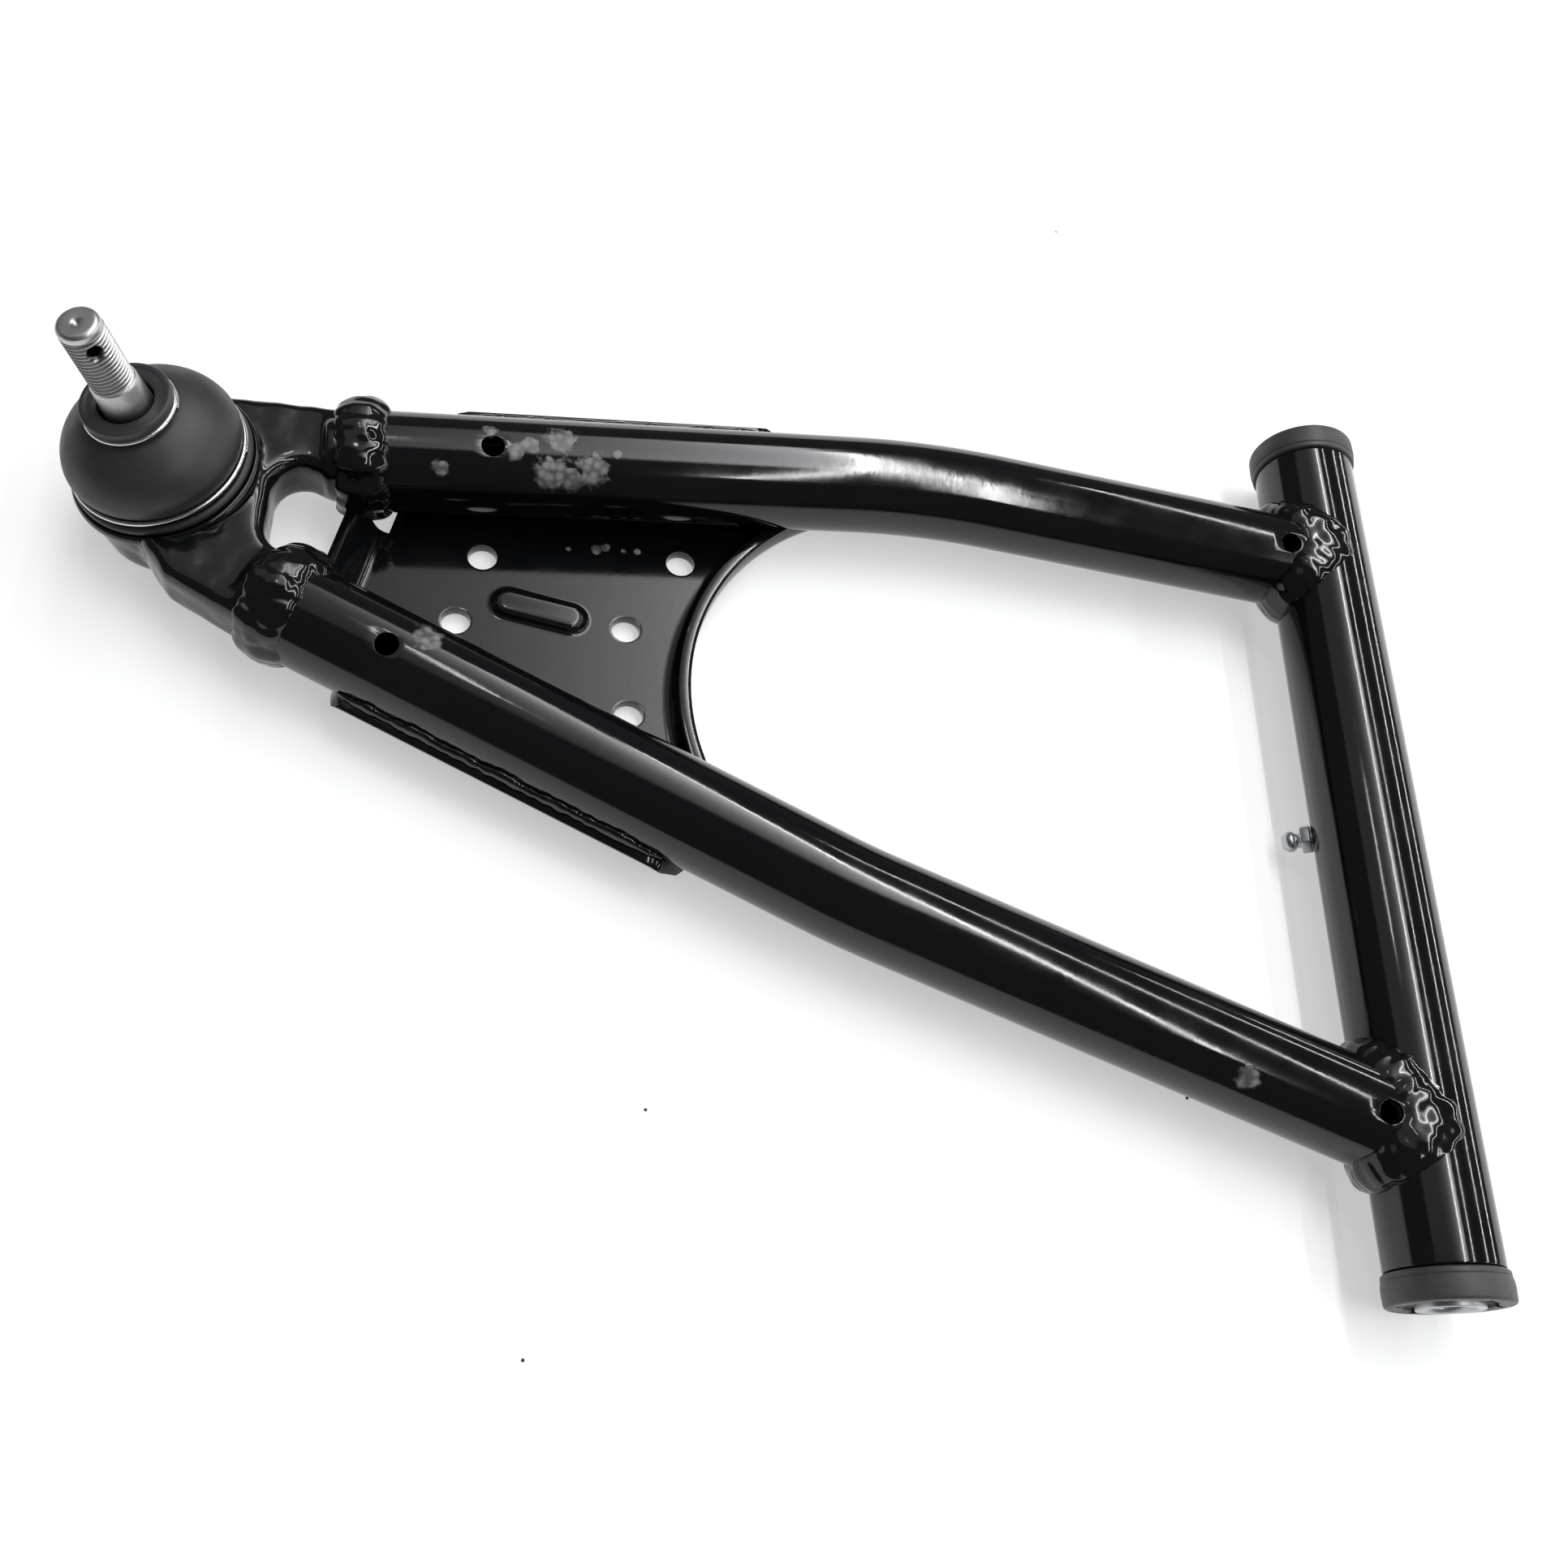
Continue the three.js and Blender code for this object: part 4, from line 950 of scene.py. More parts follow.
@dataclass
class ArmTube:
    """A bent tube from the yoke to the pivot tube, with its two drain holes and its welds."""

    side: Side
    nose: Vector
    bend: Vector
    foot: Vector
    nose_drain: float
    nose_hump: float
    seed: float
    radius: float = 15.0
    wall: float = 2.5
    bend_radius: float = 260.0
    pivot_radius: float = 16.0
    fit: float = 0.05
    drain_radius: float = 3.3
    drain_lean: float = math.radians(12)
    drain_ease: float = 0.25
    foot_drain: float = 18.0
    hole_room: float = 6.0
    plug: float = 12.2
    bend_steps: int = 14
    nose_balls: int = 22
    nose_height: float = 3.2
    nose_width: float = 8.2
    hump_height: float = 1.9
    pivot_balls: int = 30
    saddle_width: float = 9.6
    saddle_height: float = 3.4
    crotch_height: float = 5.0

    @property
    def label(self) -> str:
        """The tube's side in words."""
        return self.side.name.lower()

    @property
    def nose_line(self) -> Vector:
        """Direction of the leg at the yoke, away from the ball joint."""
        return (self.bend - self.nose).normalized()

    @property
    def foot_line(self) -> Vector:
        """Direction of the leg at the pivot tube."""
        return (self.foot - self.bend).normalized()

    def stations(self) -> list[Matrix]:
        """Frames along the tube, close together round the bend and beside the holes.

        Returns:
            The frames, from the nose to just past the pivot tube's axis.
        """
        turn = self.nose_line.angle(self.foot_line)
        reach = self.bend_radius * math.tan(turn / 2)
        enter = self.bend - self.nose_line * reach
        leave = self.bend + self.foot_line * reach
        first = (enter - self.nose).length
        last = (self.foot - leave).length
        near_nose = (0, self.nose_drain - self.hole_room, self.nose_drain + self.hole_room, first * 0.75)
        points = [(self.nose + self.nose_line * d, self.nose_line) for d in near_nose]
        for i in range(self.bend_steps + 1):
            t = i / self.bend_steps
            place = enter * (1 - t) ** 2 + self.bend * 2 * t * (1 - t) + leave * t ** 2
            slope = (self.bend - enter) * (1 - t) + (leave - self.bend) * t
            points.append((place, slope.normalized()))
        foot_drain = last - self.foot_drain
        near_foot = (last * 0.25, foot_drain - self.hole_room, foot_drain + self.hole_room, last + 4)
        points += [(leave + self.foot_line * d, self.foot_line) for d in near_foot]
        return [looking(place, line, UP) for place, line in points]

    @property
    def drain_line(self) -> Vector:
        """The direction that the drain holes face."""
        return Vector((0, -math.sin(self.drain_lean), math.cos(self.drain_lean)))

    def drain(self, end: Vector, line: Vector, distance: float) -> BMesh:
        """A bar where a drain hole is cut."""
        place = end + line * distance
        return rod(place, place + self.drain_line * (self.radius + 4), self.drain_radius)

    def soften_hole(self, mesh: BMesh, end: Vector, line: Vector, distance: float) -> None:
        """Rounds a drain hole's outer edge.

        Args:
            mesh: The cut tube.
            end: The end of the leg that the hole is measured from.
            line: Direction of that leg, away from the end.
            distance: How far along it the hole is.
        """
        outward = self.drain_line
        place = end + line * distance

        def on_rim(vert: BMVert) -> bool:
            """Whether a corner lies where the hole meets the tube's outside.

            Args:
                vert: The corner.

            Returns:
                True on the hole's outer rim.
            """
            away = vert.co - place
            off_axis = (away - outward * away.dot(outward)).length
            from_axis = (away - line * away.dot(line)).length
            return abs(off_axis - self.drain_radius) < 0.06 and from_axis > self.radius - 0.25 and away.z > 0

        rim = [edge for edge in mesh.edges if all(on_rim(vert) for vert in edge.verts)]
        bmesh.ops.bevel(
            mesh, geom=rim, offset=self.drain_ease, affect="EDGES", segments=3, profile=0.5, material=-1,
        )

    def tube_mesh(self) -> BMesh:
        """The hollow tube, fitted round the pivot tube.

        Returns:
            A closed mesh.
        """
        stations = self.stations()
        outer = sweep(stations, circle(self.radius, 112))
        before = stations[0] @ Matrix.Translation((0, 0, -2))
        after = stations[-1] @ Matrix.Translation((0, 0, 2))
        inner = sweep([before, *stations[1:], after], circle(self.radius - self.wall, 72))
        tube = carved(outer, inner)
        reach = self.radius * 3
        start, end = Vector((0, self.foot.y - reach, 0)), Vector((0, self.foot.y + reach, 0))
        tube = carved(tube, rod(start, end, self.pivot_radius + self.fit, 128))
        tube = carved(tube, self.drain(self.nose, self.nose_line, self.nose_drain))
        tube = carved(tube, self.drain(self.foot, -self.foot_line, self.foot_drain))
        self.soften_hole(tube, self.nose, self.nose_line, self.nose_drain)
        self.soften_hole(tube, self.foot, -self.foot_line, self.foot_drain)
        return tube

    def nose_weld(self) -> BMesh:
        """The lumpy bead round the joint with the yoke.

        Returns:
            A closed mesh.
        """
        across = looking(self.nose, self.nose_line, UP)
        places = []
        for i in range(self.nose_balls):
            angle = 2 * math.pi * i / self.nose_balls
            around = Vector((math.cos(angle), math.sin(angle), 0))
            lump = noise.noise(around * 2.2 + Vector((0, 0, self.seed)))
            scatter = noise.noise(around * 7 + Vector((0, 0, self.seed + 4)))
            hump = max(0.0, math.cos(angle - self.nose_hump)) ** 4
            height = self.nose_height + 1.1 * lump + 0.5 * scatter + self.hump_height * hump
            width = self.nose_width + 1.2 * lump + 0.8 * scatter
            here = across @ Matrix.Rotation(angle, 4, "Z")
            out = Matrix.Translation((self.radius - 1.0, 0, 1.4 * scatter - 1.4))
            places.append(here @ out @ Matrix.Diagonal((height, 5.2, width, 1)))
            if i % 2 == 0:
                beside = across @ Matrix.Rotation(angle + 0.2 * scatter, 4, "Z")
                along = 6.0 * scatter + 1.5 * lump - 0.6
                drop = Matrix.Translation((self.radius + 0.4 + 0.6 * lump, 0, along))
                size = 3.4 + 1.0 * lump
                places.append(beside @ drop @ Matrix.Diagonal((2.3, size, size * 1.2, 1)))
        bead = blobs(places, passes=6)
        knead(bead, 0.8, 5.0, self.seed)
        return bead

    def saddle_point(self, angle: float) -> tuple[Vector, Vector]:
        """A point where this tube's outside meets the pivot tube, and the way out of that corner.

        Args:
            angle: Place round the arm tube.

        Returns:
            The point and the direction that the bead faces.
        """
        back = -self.foot_line
        sideways = UP.cross(back).normalized()
        height = self.radius * math.sin(angle)
        x = -math.sqrt(self.pivot_radius ** 2 - height ** 2)
        along = (x - self.radius * math.cos(angle) * sideways.x) / back.x
        around = sideways * math.cos(angle) + UP * math.sin(angle)
        place = self.foot + back * along + around * self.radius
        pivot_out = Vector((x, 0, height)).normalized()
        return place, (around + pivot_out).normalized()

    def pivot_weld(self) -> BMesh:
        """The wide bead that fills the saddle between this tube and the pivot tube.

        Returns:
            A closed mesh.
        """
        places = []
        for i in range(self.pivot_balls):
            angle = 2 * math.pi * i / self.pivot_balls
            place, out = self.saddle_point(angle)
            ahead, _ = self.saddle_point(angle + 0.01)
            lump = noise.noise(Vector((math.cos(angle) * 2, math.sin(angle) * 2, self.seed + 7)))
            scatter = noise.noise(Vector((math.cos(angle) * 7, math.sin(angle) * 7, self.seed + 8)))
            corner = abs(math.cos(angle))
            swell = 1 + 0.10 * lump + 0.06 * scatter
            height = (self.saddle_height + self.crotch_height * corner) * swell
            width = (self.saddle_width - 1.2 * corner) * swell
            here = looking(place - out * (1.5 + 1.5 * corner), ahead - place, out)
            places.append(here @ Matrix.Diagonal((width, height, 6.0, 1)))
        bead = blobs(places, passes=8)
        knead(bead, 0.6, 5.5, self.seed + 5)
        return bead

    def build(self, palette: Palette) -> None:
        """Makes the tube and its two welds.

        Args:
            palette: The finishes.
        """
        Piece(f"{self.label}_tube", self.tube_mesh(), palette.tube_paint, Slot.PAINT,
              nodes=(f"{self.label}_arm_tube",)).finish()
        Piece(f"{self.label}_nose_bead", self.nose_weld(), palette.weld_paint, Slot.PAINT,
              nodes=(f"{self.label}_nose_weld",), sharp=80).finish()
        Piece(f"{self.label}_pivot_bead", self.pivot_weld(), palette.weld_paint, Slot.PAINT,
              nodes=(f"{self.label}_pivot_weld",), sharp=80).finish()


def arm_tubes() -> tuple[ArmTube, ArmTube]:
    """The front and the rear tube at their places.

    Returns:
        The front tube and the rear tube.
    """
    front = ArmTube(
        Side.FRONT,
        nose=BALL + Vector((53.5, 13.7, 0)),
        bend=Vector((-137.0, HALF_PIVOT - 24.8, 0)),
        foot=Vector((0, HALF_PIVOT - 38.4, 0)),
        nose_drain=36.5, nose_hump=math.radians(35), seed=2.0,
    )
    rear = ArmTube(
        Side.REAR,
        nose=BALL + Vector((37.8, -40.6, 0)),
        bend=Vector((-163.0, 97.0 - HALF_PIVOT, 0)),
        foot=Vector((0, 36.3 - HALF_PIVOT, 0)),
        nose_drain=32.0, nose_hump=math.radians(20), seed=11.0,
    )
    return front, rear


# ------------------------------------------------------------------ pivot tube

@dataclass
class PivotTube:
    """The greased tube across the arm's base, with its bushes, sleeve and grease nipple."""

    radius: float = 16.0
    wall: float = 3.0
    edge: float = 0.6
    bush_depth: float = 30.0
    flange_radius: float = 17.2
    flange: float = 8.7
    gap: float = 0.3
    recess_width: float = 2.8
    recess_depth: float = 1.4
    sleeve_radius: float = 9.2
    bore_radius: float = 6.1
    sleeve_proud: float = 0.8
    nipple_y: float = -1.3
    nipple_drop: float = math.radians(35)
    hex_radius: float = 4.62
    hex_height: float = 3.0
    nipple_length: float = 8.8
    check_ball_radius: float = 1.25
    check_ball_depth: float = 2.4
    notch_count: int = 6
    notch_radius: float = 1.3
    mark_radius: float = 1.5
    mark_height: float = 4.2
    mark_depth: float = 0.75

    def tube(self) -> BMesh:
        """The tube itself, its ends rounded.

        Returns:
            A closed mesh.
        """
        inner = self.radius - self.wall
        corners = [
            (inner, -HALF_PIVOT), (self.radius, -HALF_PIVOT), (self.radius, HALF_PIVOT), (inner, HALF_PIVOT),
        ]
        return lathe(eased(corners, self.edge, closed=True), PIVOT_FRAME, 160, closed=True)

    def bush(self, side: Side) -> BMesh:
        """A flanged plastic bush, with grease notches round its bore and an ejector mark.

        Args:
            side: The end of the pivot tube that it is in.

        Returns:
            A closed mesh.
        """
        bore = self.sleeve_radius + self.gap
        seat = HALF_PIVOT + self.gap
        face = seat + self.flange
        step = bore + self.recess_width
        corners = [
            (bore, HALF_PIVOT - self.bush_depth),
            (self.radius - self.wall - self.gap, HALF_PIVOT - self.bush_depth),
            (self.radius - self.wall - self.gap, seat),
            (self.flange_radius - 0.5, seat),
            (self.flange_radius - 0.35, seat + 1.7),
            (self.flange_radius - 0.6, seat + 1.9),
            (self.flange_radius - 0.25, seat + 2.1),
            (self.flange_radius, seat + self.flange * 0.45),
            (self.flange_radius - 0.15, face),
            (step, face),
            (step, face - self.recess_depth),
            (bore, face - self.recess_depth),
        ]
        turn = PIVOT_FRAME if side is Side.FRONT else looking(Vector((0, 0, 0)), Vector((0, -1, 0)), UP)
        mesh = lathe(eased(corners, 1.1, 5, closed=True), turn, 128, closed=True)
        for i in range(self.notch_count):
            around = Matrix.Rotation(2 * math.pi * (i + 0.25) / self.notch_count, 4, "Z")
            start = turn @ around @ Vector((bore - 1, 0, face - 0.6))
            end = turn @ around @ Vector((self.flange_radius - 3.0, 0, face - 0.6))
            mesh = carved(mesh, rod(start, end, self.notch_radius, 20))
        mark = turn @ Matrix.Rotation(math.radians(-100), 4, "Z")
        outside, height = self.flange_radius + 0.4, seat + self.mark_height
        start = mark @ Vector((outside, 0, height))
        end = mark @ Vector((outside - self.mark_depth, 0, height))
        return carved(mesh, rod(start, end, self.mark_radius, 28))

    def sleeve(self) -> BMesh:
        """The steel sleeve that the pivot bolt clamps.

        Returns:
            A closed mesh.
        """
        end = HALF_PIVOT + self.gap + self.flange + self.sleeve_proud
        corners = [
            (self.bore_radius, 1 - end), (self.bore_radius + 1, -end), (self.sleeve_radius, -end),
            (self.sleeve_radius, end), (self.bore_radius + 1, end), (self.bore_radius, end - 1),
        ]
        return lathe(eased(corners, 0.35, 3, closed=True), PIVOT_FRAME, 96, closed=True)

    @property
    def nipple_frame(self) -> Matrix:
        """The grease nipple's frame, Z outwards from the pivot axis."""
        outward = Vector((-math.cos(self.nipple_drop), 0, -math.sin(self.nipple_drop)))
        return looking(Vector((0, self.nipple_y, 0)), outward, Vector((0, 1, 0)))

    def nipple(self) -> BMesh:
        """A hexagon with a waisted, round-headed nipple on it.

        Returns:
            A closed mesh.
        """
        seat = self.radius + 0.2
        top = seat + self.hex_height
        tip = self.radius + self.gap + self.nipple_length
        hexagon = bmesh.new()
        bmesh.ops.create_cone(
            hexagon, cap_ends=True, segments=6, radius1=self.hex_radius, radius2=self.hex_radius,
            depth=self.hex_height, matrix=self.nipple_frame @ Matrix.Translation((0, 0, (seat + top) / 2)),
        )
        bmesh.ops.bevel(
            hexagon, geom=list(hexagon.edges), offset=0.35, affect="EDGES", segments=3, profile=0.5,
            material=-1,
        )
        corners = [
            (0.0, tip - 2.2), (0.9, tip - 2.0), (0.9, tip - 0.15), (1.8, tip), (3.25, tip - 2.0),
            (3.25, tip - 3.4), (2.2, tip - 4.4), (2.2, top + 0.6), (3.1, top - 0.2),
            (3.0, self.radius - 3), (0.0, self.radius - 3),
        ]
        body = lathe(eased(corners, 0.6, 4), self.nipple_frame, 48)
        return joined([hexagon, body])

    def check_ball(self) -> BMesh:
        """The steel ball that closes the nipple's mouth.

        Returns:
            A closed mesh.
        """
        mesh = bmesh.new()
        height = self.radius + self.gap + self.nipple_length - self.check_ball_depth
        bmesh.ops.create_uvsphere(
            mesh, u_segments=24, v_segments=16, radius=self.check_ball_radius,
            matrix=self.nipple_frame @ Matrix.Translation((0, 0, height)),
        )
        return mesh

    def build(self, palette: Palette) -> None:
        """Makes the tube and everything in it.

        Args:
            palette: The finishes.
        """
        Piece("pivot_tube_shell", self.tube(), palette.tube_paint, Slot.PAINT, nodes=("pivot_tube",)).finish()
        for side in Side:
            label = side.name.lower()
            Piece(f"{label}_flanged_bush", self.bush(side), palette.plastic, Slot.PLASTIC,
                  nodes=(f"{label}_bush",)).finish()
        Piece("steel_sleeve", self.sleeve(), palette.zinc, Slot.ZINC, Body.SLEEVE, ("pivot_sleeve",)).finish()
        Piece("nipple", self.nipple(), palette.zinc, Slot.ZINC, nodes=("grease_nipple",)).finish()
        Piece("nipple_ball", self.check_ball(), palette.steel, Slot.STEEL, Body.CHECK_BALL,
              ("nipple_check_ball",)).finish()


# ------------------------------------------------------------------ yoke

@dataclass
class Yoke:
    """The forging at the arm's nose: a round housing with two arms that plug into the tubes."""

    tubes: tuple[ArmTube, ArmTube]
    housing_radius: float = 25.5
    bottom_radius: float = 23.0
    bottom: float = -15.5
    rim_radius: float = 27.2
    rim_low: float = 3.0
    rim_top: float = 7.0
    spigot_radius: float = 24.0
    spigot_top: float = 9.0
    cavity_radius: float = 15.0
    mouth_radius: float = 13.2
    curl_radius: float = 12.5
    half_thickness: float = 9.0
    end_half_width: float = 13.2
    window_left: float = 28.5
    window_top: float = 4.5
    window_bottom: float = -26.0
    window_corner: float = 9.0
    heel: Vector = field(default_factory=lambda: Vector((4.0, -37.5)))
    root_radius: float = 21.0
    set_back: float = 5.0
    plug_back: float = 12.0
    plug_ahead: float = 10.0
    web_edge: float = 3.6
    grain: float = 0.8
    melting: int = 12

    def corner(self, tube: ArmTube, across: int) -> Vector:
        """A corner of the web beside a tube, from the ball's centre.

        Args:
            tube: The tube.
            across: 1 or -1, the side of the tube.

        Returns:
            The corner, seen from above.
        """
        line = tube.nose_line
        return Vector((
            tube.nose.x - BALL.x - line.x * self.set_back - line.y * across * self.end_half_width,
            tube.nose.y - BALL.y - line.y * self.set_back + line.x * across * self.end_half_width,
        ))

    def outline(self) -> list[Vector]:
        """The web's edge, seen from above, from the ball's centre.

        Returns:
            Its points in order.
        """
        front, rear = self.tubes
        centre_x = self.window_left + self.window_corner

        def arc(x: float, y: float, radius: float, start: float, end: float, steps: int) -> list[Vector]:
            """Points along a round stretch, from one angle to another in degrees."""
            angles = (math.radians(start + (end - start) * i / steps) for i in range(steps + 1))
            return [Vector((x + radius * math.cos(a), y + radius * math.sin(a))) for a in angles]

        return [
            Vector((0, self.housing_radius)),
            *arc(0, 0, self.root_radius, 120, 240, 6),
            self.heel,
            self.corner(rear, -1),
            self.corner(rear, 1),
            *arc(centre_x, self.window_bottom + self.window_corner, self.window_corner, 240, 180, 6),
            *arc(centre_x, self.window_top - self.window_corner, self.window_corner, 180, 90, 8),
            self.corner(front, -1),
            self.corner(front, 1),
        ]

    def plug(self, tube: ArmTube) -> BMesh:
        """The round end of an arm, inside its tube."""
        line = tube.nose_line
        return rod(tube.nose - line * self.plug_back, tube.nose + line * self.plug_ahead, tube.plug, 56)

    def neck_web(self) -> BMesh:
        """The flat web between the housing and the tubes."""
        points = [point + BALL.to_2d() for point in self.outline()]
        return slab(points, -self.half_thickness, self.half_thickness, self.web_edge)

    def housing(self) -> BMesh:
        """The housing's outside, below its rim.

        Returns:
            A closed mesh.
        """
        corners = [
            (0.0, self.bottom), (self.bottom_radius, self.bottom), (self.housing_radius, self.bottom + 4),
            (self.housing_radius, self.rim_low), (self.housing_radius, self.rim_top - 1.2),
            (0.0, self.rim_top - 1.2),
        ]
        return lathe(eased(corners, 1.5), joint_frame(), 96)

    def cavity(self) -> BMesh:
        """The room inside the housing, open at both ends.

        Returns:
            A closed mesh.
        """
        curl = self.bottom + 1.2
        corners = [
            (0.0, self.bottom - 2), (self.curl_radius, self.bottom - 2), (self.curl_radius, curl),
            (self.cavity_radius, curl), (self.cavity_radius, self.rim_top + 6), (0.0, self.rim_top + 6),
        ]
        return lathe(corners, joint_frame(), 96)

    def boot_room(self) -> BMesh:
        """The room above the rim that the boot needs.

        Returns:
            A closed mesh.
        """
        low = self.rim_low + 0.3
        corners = [(0.0, low), (self.rim_radius + 0.2, low), (self.rim_radius + 0.2, 30.0), (0.0, 30.0)]
        return lathe(corners, joint_frame(), 96)

    def rim(self) -> BMesh:
        """The turned rim that the boot sits on, with its two steps and the mouth inside.

        Returns:
            A closed mesh.
        """
        low = self.rim_low - 1.4
        corners = [
            (self.cavity_radius - 0.2, low), (self.housing_radius - 0.6, low),
            (self.housing_radius + 0.5, self.rim_low + 0.2), (self.rim_radius, self.rim_low + 1.2),
            (self.rim_radius, self.rim_top - 1.0),
            (self.rim_radius - 0.9, self.rim_top), (self.rim_radius - 1.7, self.rim_top - 0.5),
            (self.spigot_radius + 0.2, self.rim_top - 0.5), (self.spigot_radius, self.spigot_top),
            (self.mouth_radius + 1.8, self.spigot_top), (self.mouth_radius, self.rim_top),
            (self.cavity_radius - 0.2, self.rim_top),
        ]
        return lathe(eased(corners, 0.7, 4, closed=True), joint_frame(), 144, closed=True)

    def body(self) -> BMesh:
        """The forging, melted together and then machined.

        Returns:
            A closed mesh.
        """
        front, rear = self.tubes
        parts = [self.neck_web(), self.housing(), self.plug(front), self.plug(rear)]
        mesh = forged(parts, self.grain, self.melting)
        knead(mesh, 0.26, 6.0, 1.5)
        knead(mesh, 0.05, 2.6, 4.0)
        mesh = carved(mesh, self.cavity())
        return carved(mesh, self.boot_room())

    def build(self, palette: Palette) -> None:
        """Makes the forging and its rim.

        Args:
            palette: The finishes.
        """
        Piece("yoke_forging", self.body(), palette.forged_paint, Slot.PAINT,
              nodes=("ball_joint_yoke",), sharp=50).finish()
        Piece("yoke_rim", self.rim(), palette.paint, Slot.PAINT).finish()


# ------------------------------------------------------------------ ball joint

@dataclass
class BallJoint:
    """The stud with its boot, rings and the pieces hidden in the housing."""

    ball_radius: float = 11.0
    flat: float = -9.6
    neck: float = 6.0
    taper_start: float = 18.0
    taper_radius: float = 7.8
    taper_end_radius: float = 6.4
    thread_start: float = 42.0
    thread_radius: float = 6.0
    tip: float = 64.0
    pitch: float = 1.25
    thread_depth: float = 0.85
    cap_height: float = 2.8
    cap_radius: float = 5.85
    cotter: float = 57.3
    cotter_turn: float = math.radians(34)
    cotter_radius: float = 1.8
    countersink: float = 1.7
    lathe_centre: float = 1.4
    bulge: float = 25.3
    bulge_height: float = 16.5
    boot_top: float = 31.2
    boot_split: float = 21.5
    boot_wall: float = 2.2
    foot: float = 9.3
    collar_radius: float = 12.8
    collar_height: float = 3.4
    wire: float = 0.7
    base_ring: float = 11.2
    base_radius: float = 24.0
    clearance: float = 1.0

    @property
    def collar_bore(self) -> float:
        """Radius of the hole that the stud passes through."""
        slope = (self.taper_radius - self.taper_end_radius) / (self.thread_start - self.taper_start)
        return self.taper_radius - slope * (self.boot_top - self.taper_start) + self.clearance

    def stud_core(self) -> BMesh:
        """The stud without its thread's ridge.

        Returns:
            A closed mesh.
        """
        low = math.acos(self.flat / self.ball_radius)
        high = math.asin(self.neck / self.ball_radius)
        steps = 24
        angles = [low + (high - low) * i / steps for i in range(steps + 1)]
        sphere = [(self.ball_radius * math.sin(a), self.ball_radius * math.cos(a)) for a in angles]
        root = self.thread_radius - self.thread_depth
        cap = self.tip - self.cap_height
        upper = eased([
            sphere[-1], (self.neck, self.taper_start - 4), (self.taper_radius, self.taper_start),
            (self.taper_end_radius, self.thread_start), (root, self.thread_start + 1.2),
            (root, cap - 0.5), (self.cap_radius, cap + 0.1), (self.cap_radius, self.tip - 0.8),
            (self.cap_radius - 0.9, self.tip), (self.lathe_centre, self.tip), (0.3, self.tip - 0.9),
            (0.0, self.tip - 0.9),
        ], 0.6, 4)
        return lathe([(0.0, self.flat), *sphere[:-1], *upper], joint_frame(), 96)

    def thread(self) -> BMesh:
        """The thread's ridge, wound up the stud and trimmed to its chamfer.

        Returns:
            A closed mesh.
        """
        mesh = bmesh.new()
        root, crest = self.thread_radius - self.thread_depth - 0.06, self.thread_radius
        half = self.pitch / 2
        low = self.thread_start - 0.4
        section = [(root, -half * 0.92), (root, half * 0.92), (crest, half * 0.14), (crest, -half * 0.14)]
        ring = [mesh.verts.new((radius, 0, low + height)) for radius, height in section]
        edges = [mesh.edges.new((ring[i - 1], ring[i])) for i in range(4)]
        start = mesh.faces.new(ring)
        turns = (self.tip + 1 - low) / self.pitch
        steps = round(turns * 40)
        made = bmesh.ops.spin(
            mesh, geom=ring + edges, cent=(0, 0, 0), axis=(0, 0, 1),
            dvec=(0, 0, self.pitch * turns / steps), angle=2 * math.pi * turns, steps=steps,
            use_merge=False,
        )["geom_last"]
        bmesh.ops.contextual_create(mesh, geom=[item for item in made if isinstance(item, BMEdge)])
        start.normal_update()
        bmesh.ops.recalc_face_normals(mesh, faces=mesh.faces)
        bmesh.ops.transform(mesh, matrix=joint_frame(), verts=mesh.verts)
        cap = self.tip - self.cap_height
        envelope = lathe([
            (0.0, self.thread_start - 2), (crest + 0.5, self.thread_start - 2), (crest + 0.5, cap - 0.2),
            (crest - 1.0, cap + 0.6), (0.0, cap + 0.6),
        ], joint_frame(), 72)
        return carved(mesh, envelope, Cut.KEEP)

    def stud(self) -> BMesh:
        """The whole stud, with its cotter hole through core and thread.

        Returns:
            A closed mesh.
        """
        place = joint_frame(self.cotter) @ Matrix.Rotation(self.cotter_turn, 4, "Z")
        parts = []
        for part in (self.stud_core(), self.thread()):
            through = rod(place @ Vector((0, -8, 0)), place @ Vector((0, 8, 0)), self.cotter_radius, 32)
            part = carved(part, through)
            for side in (-1, 1):
                low, high = place @ Vector((0, side * 4.6, 0)), place @ Vector((0, side * 7, 0))
                wide = self.cotter_radius + self.countersink
                part = carved(part, rod(low, high, self.cotter_radius, 32, wide))
            parts.append(part)
        return joined(parts)

    def boot_line(self) -> Profile:
        """The boot's outside, from its foot to the collar.

        Returns:
            Radius and height of each corner.
        """
        neck = self.collar_radius - self.wire + 0.2 - self.wire - 0.25
        groove = self.base_ring + self.wire + 0.3
        return [
            (self.base_radius - 0.1, self.foot), (self.base_radius - 0.1, groove),
            (self.bulge - 0.7, groove + 0.7), (self.bulge, self.bulge_height), (self.bulge - 1.5, 20.6),
            (21.2, 24.0), (17.2, 26.9), (13.9, 28.6), (neck + 0.3, 29.3), (neck, 29.9), (neck, self.boot_top),
        ]

    def boot_parts(self) -> tuple[Profile, Profile]:
        """The lower and upper half of the boot's wall as closed profiles.

        Returns:
            The lower and the upper profile, which share the ends at the split.
        """
        outside = eased(self.boot_line(), 2.0, 6)
        inside = [(max(radius - self.boot_wall, self.collar_bore), height - self.boot_wall * 0.35)
                  for radius, height in outside if height > self.foot + 2]
        inside.append((self.collar_bore, self.boot_top))

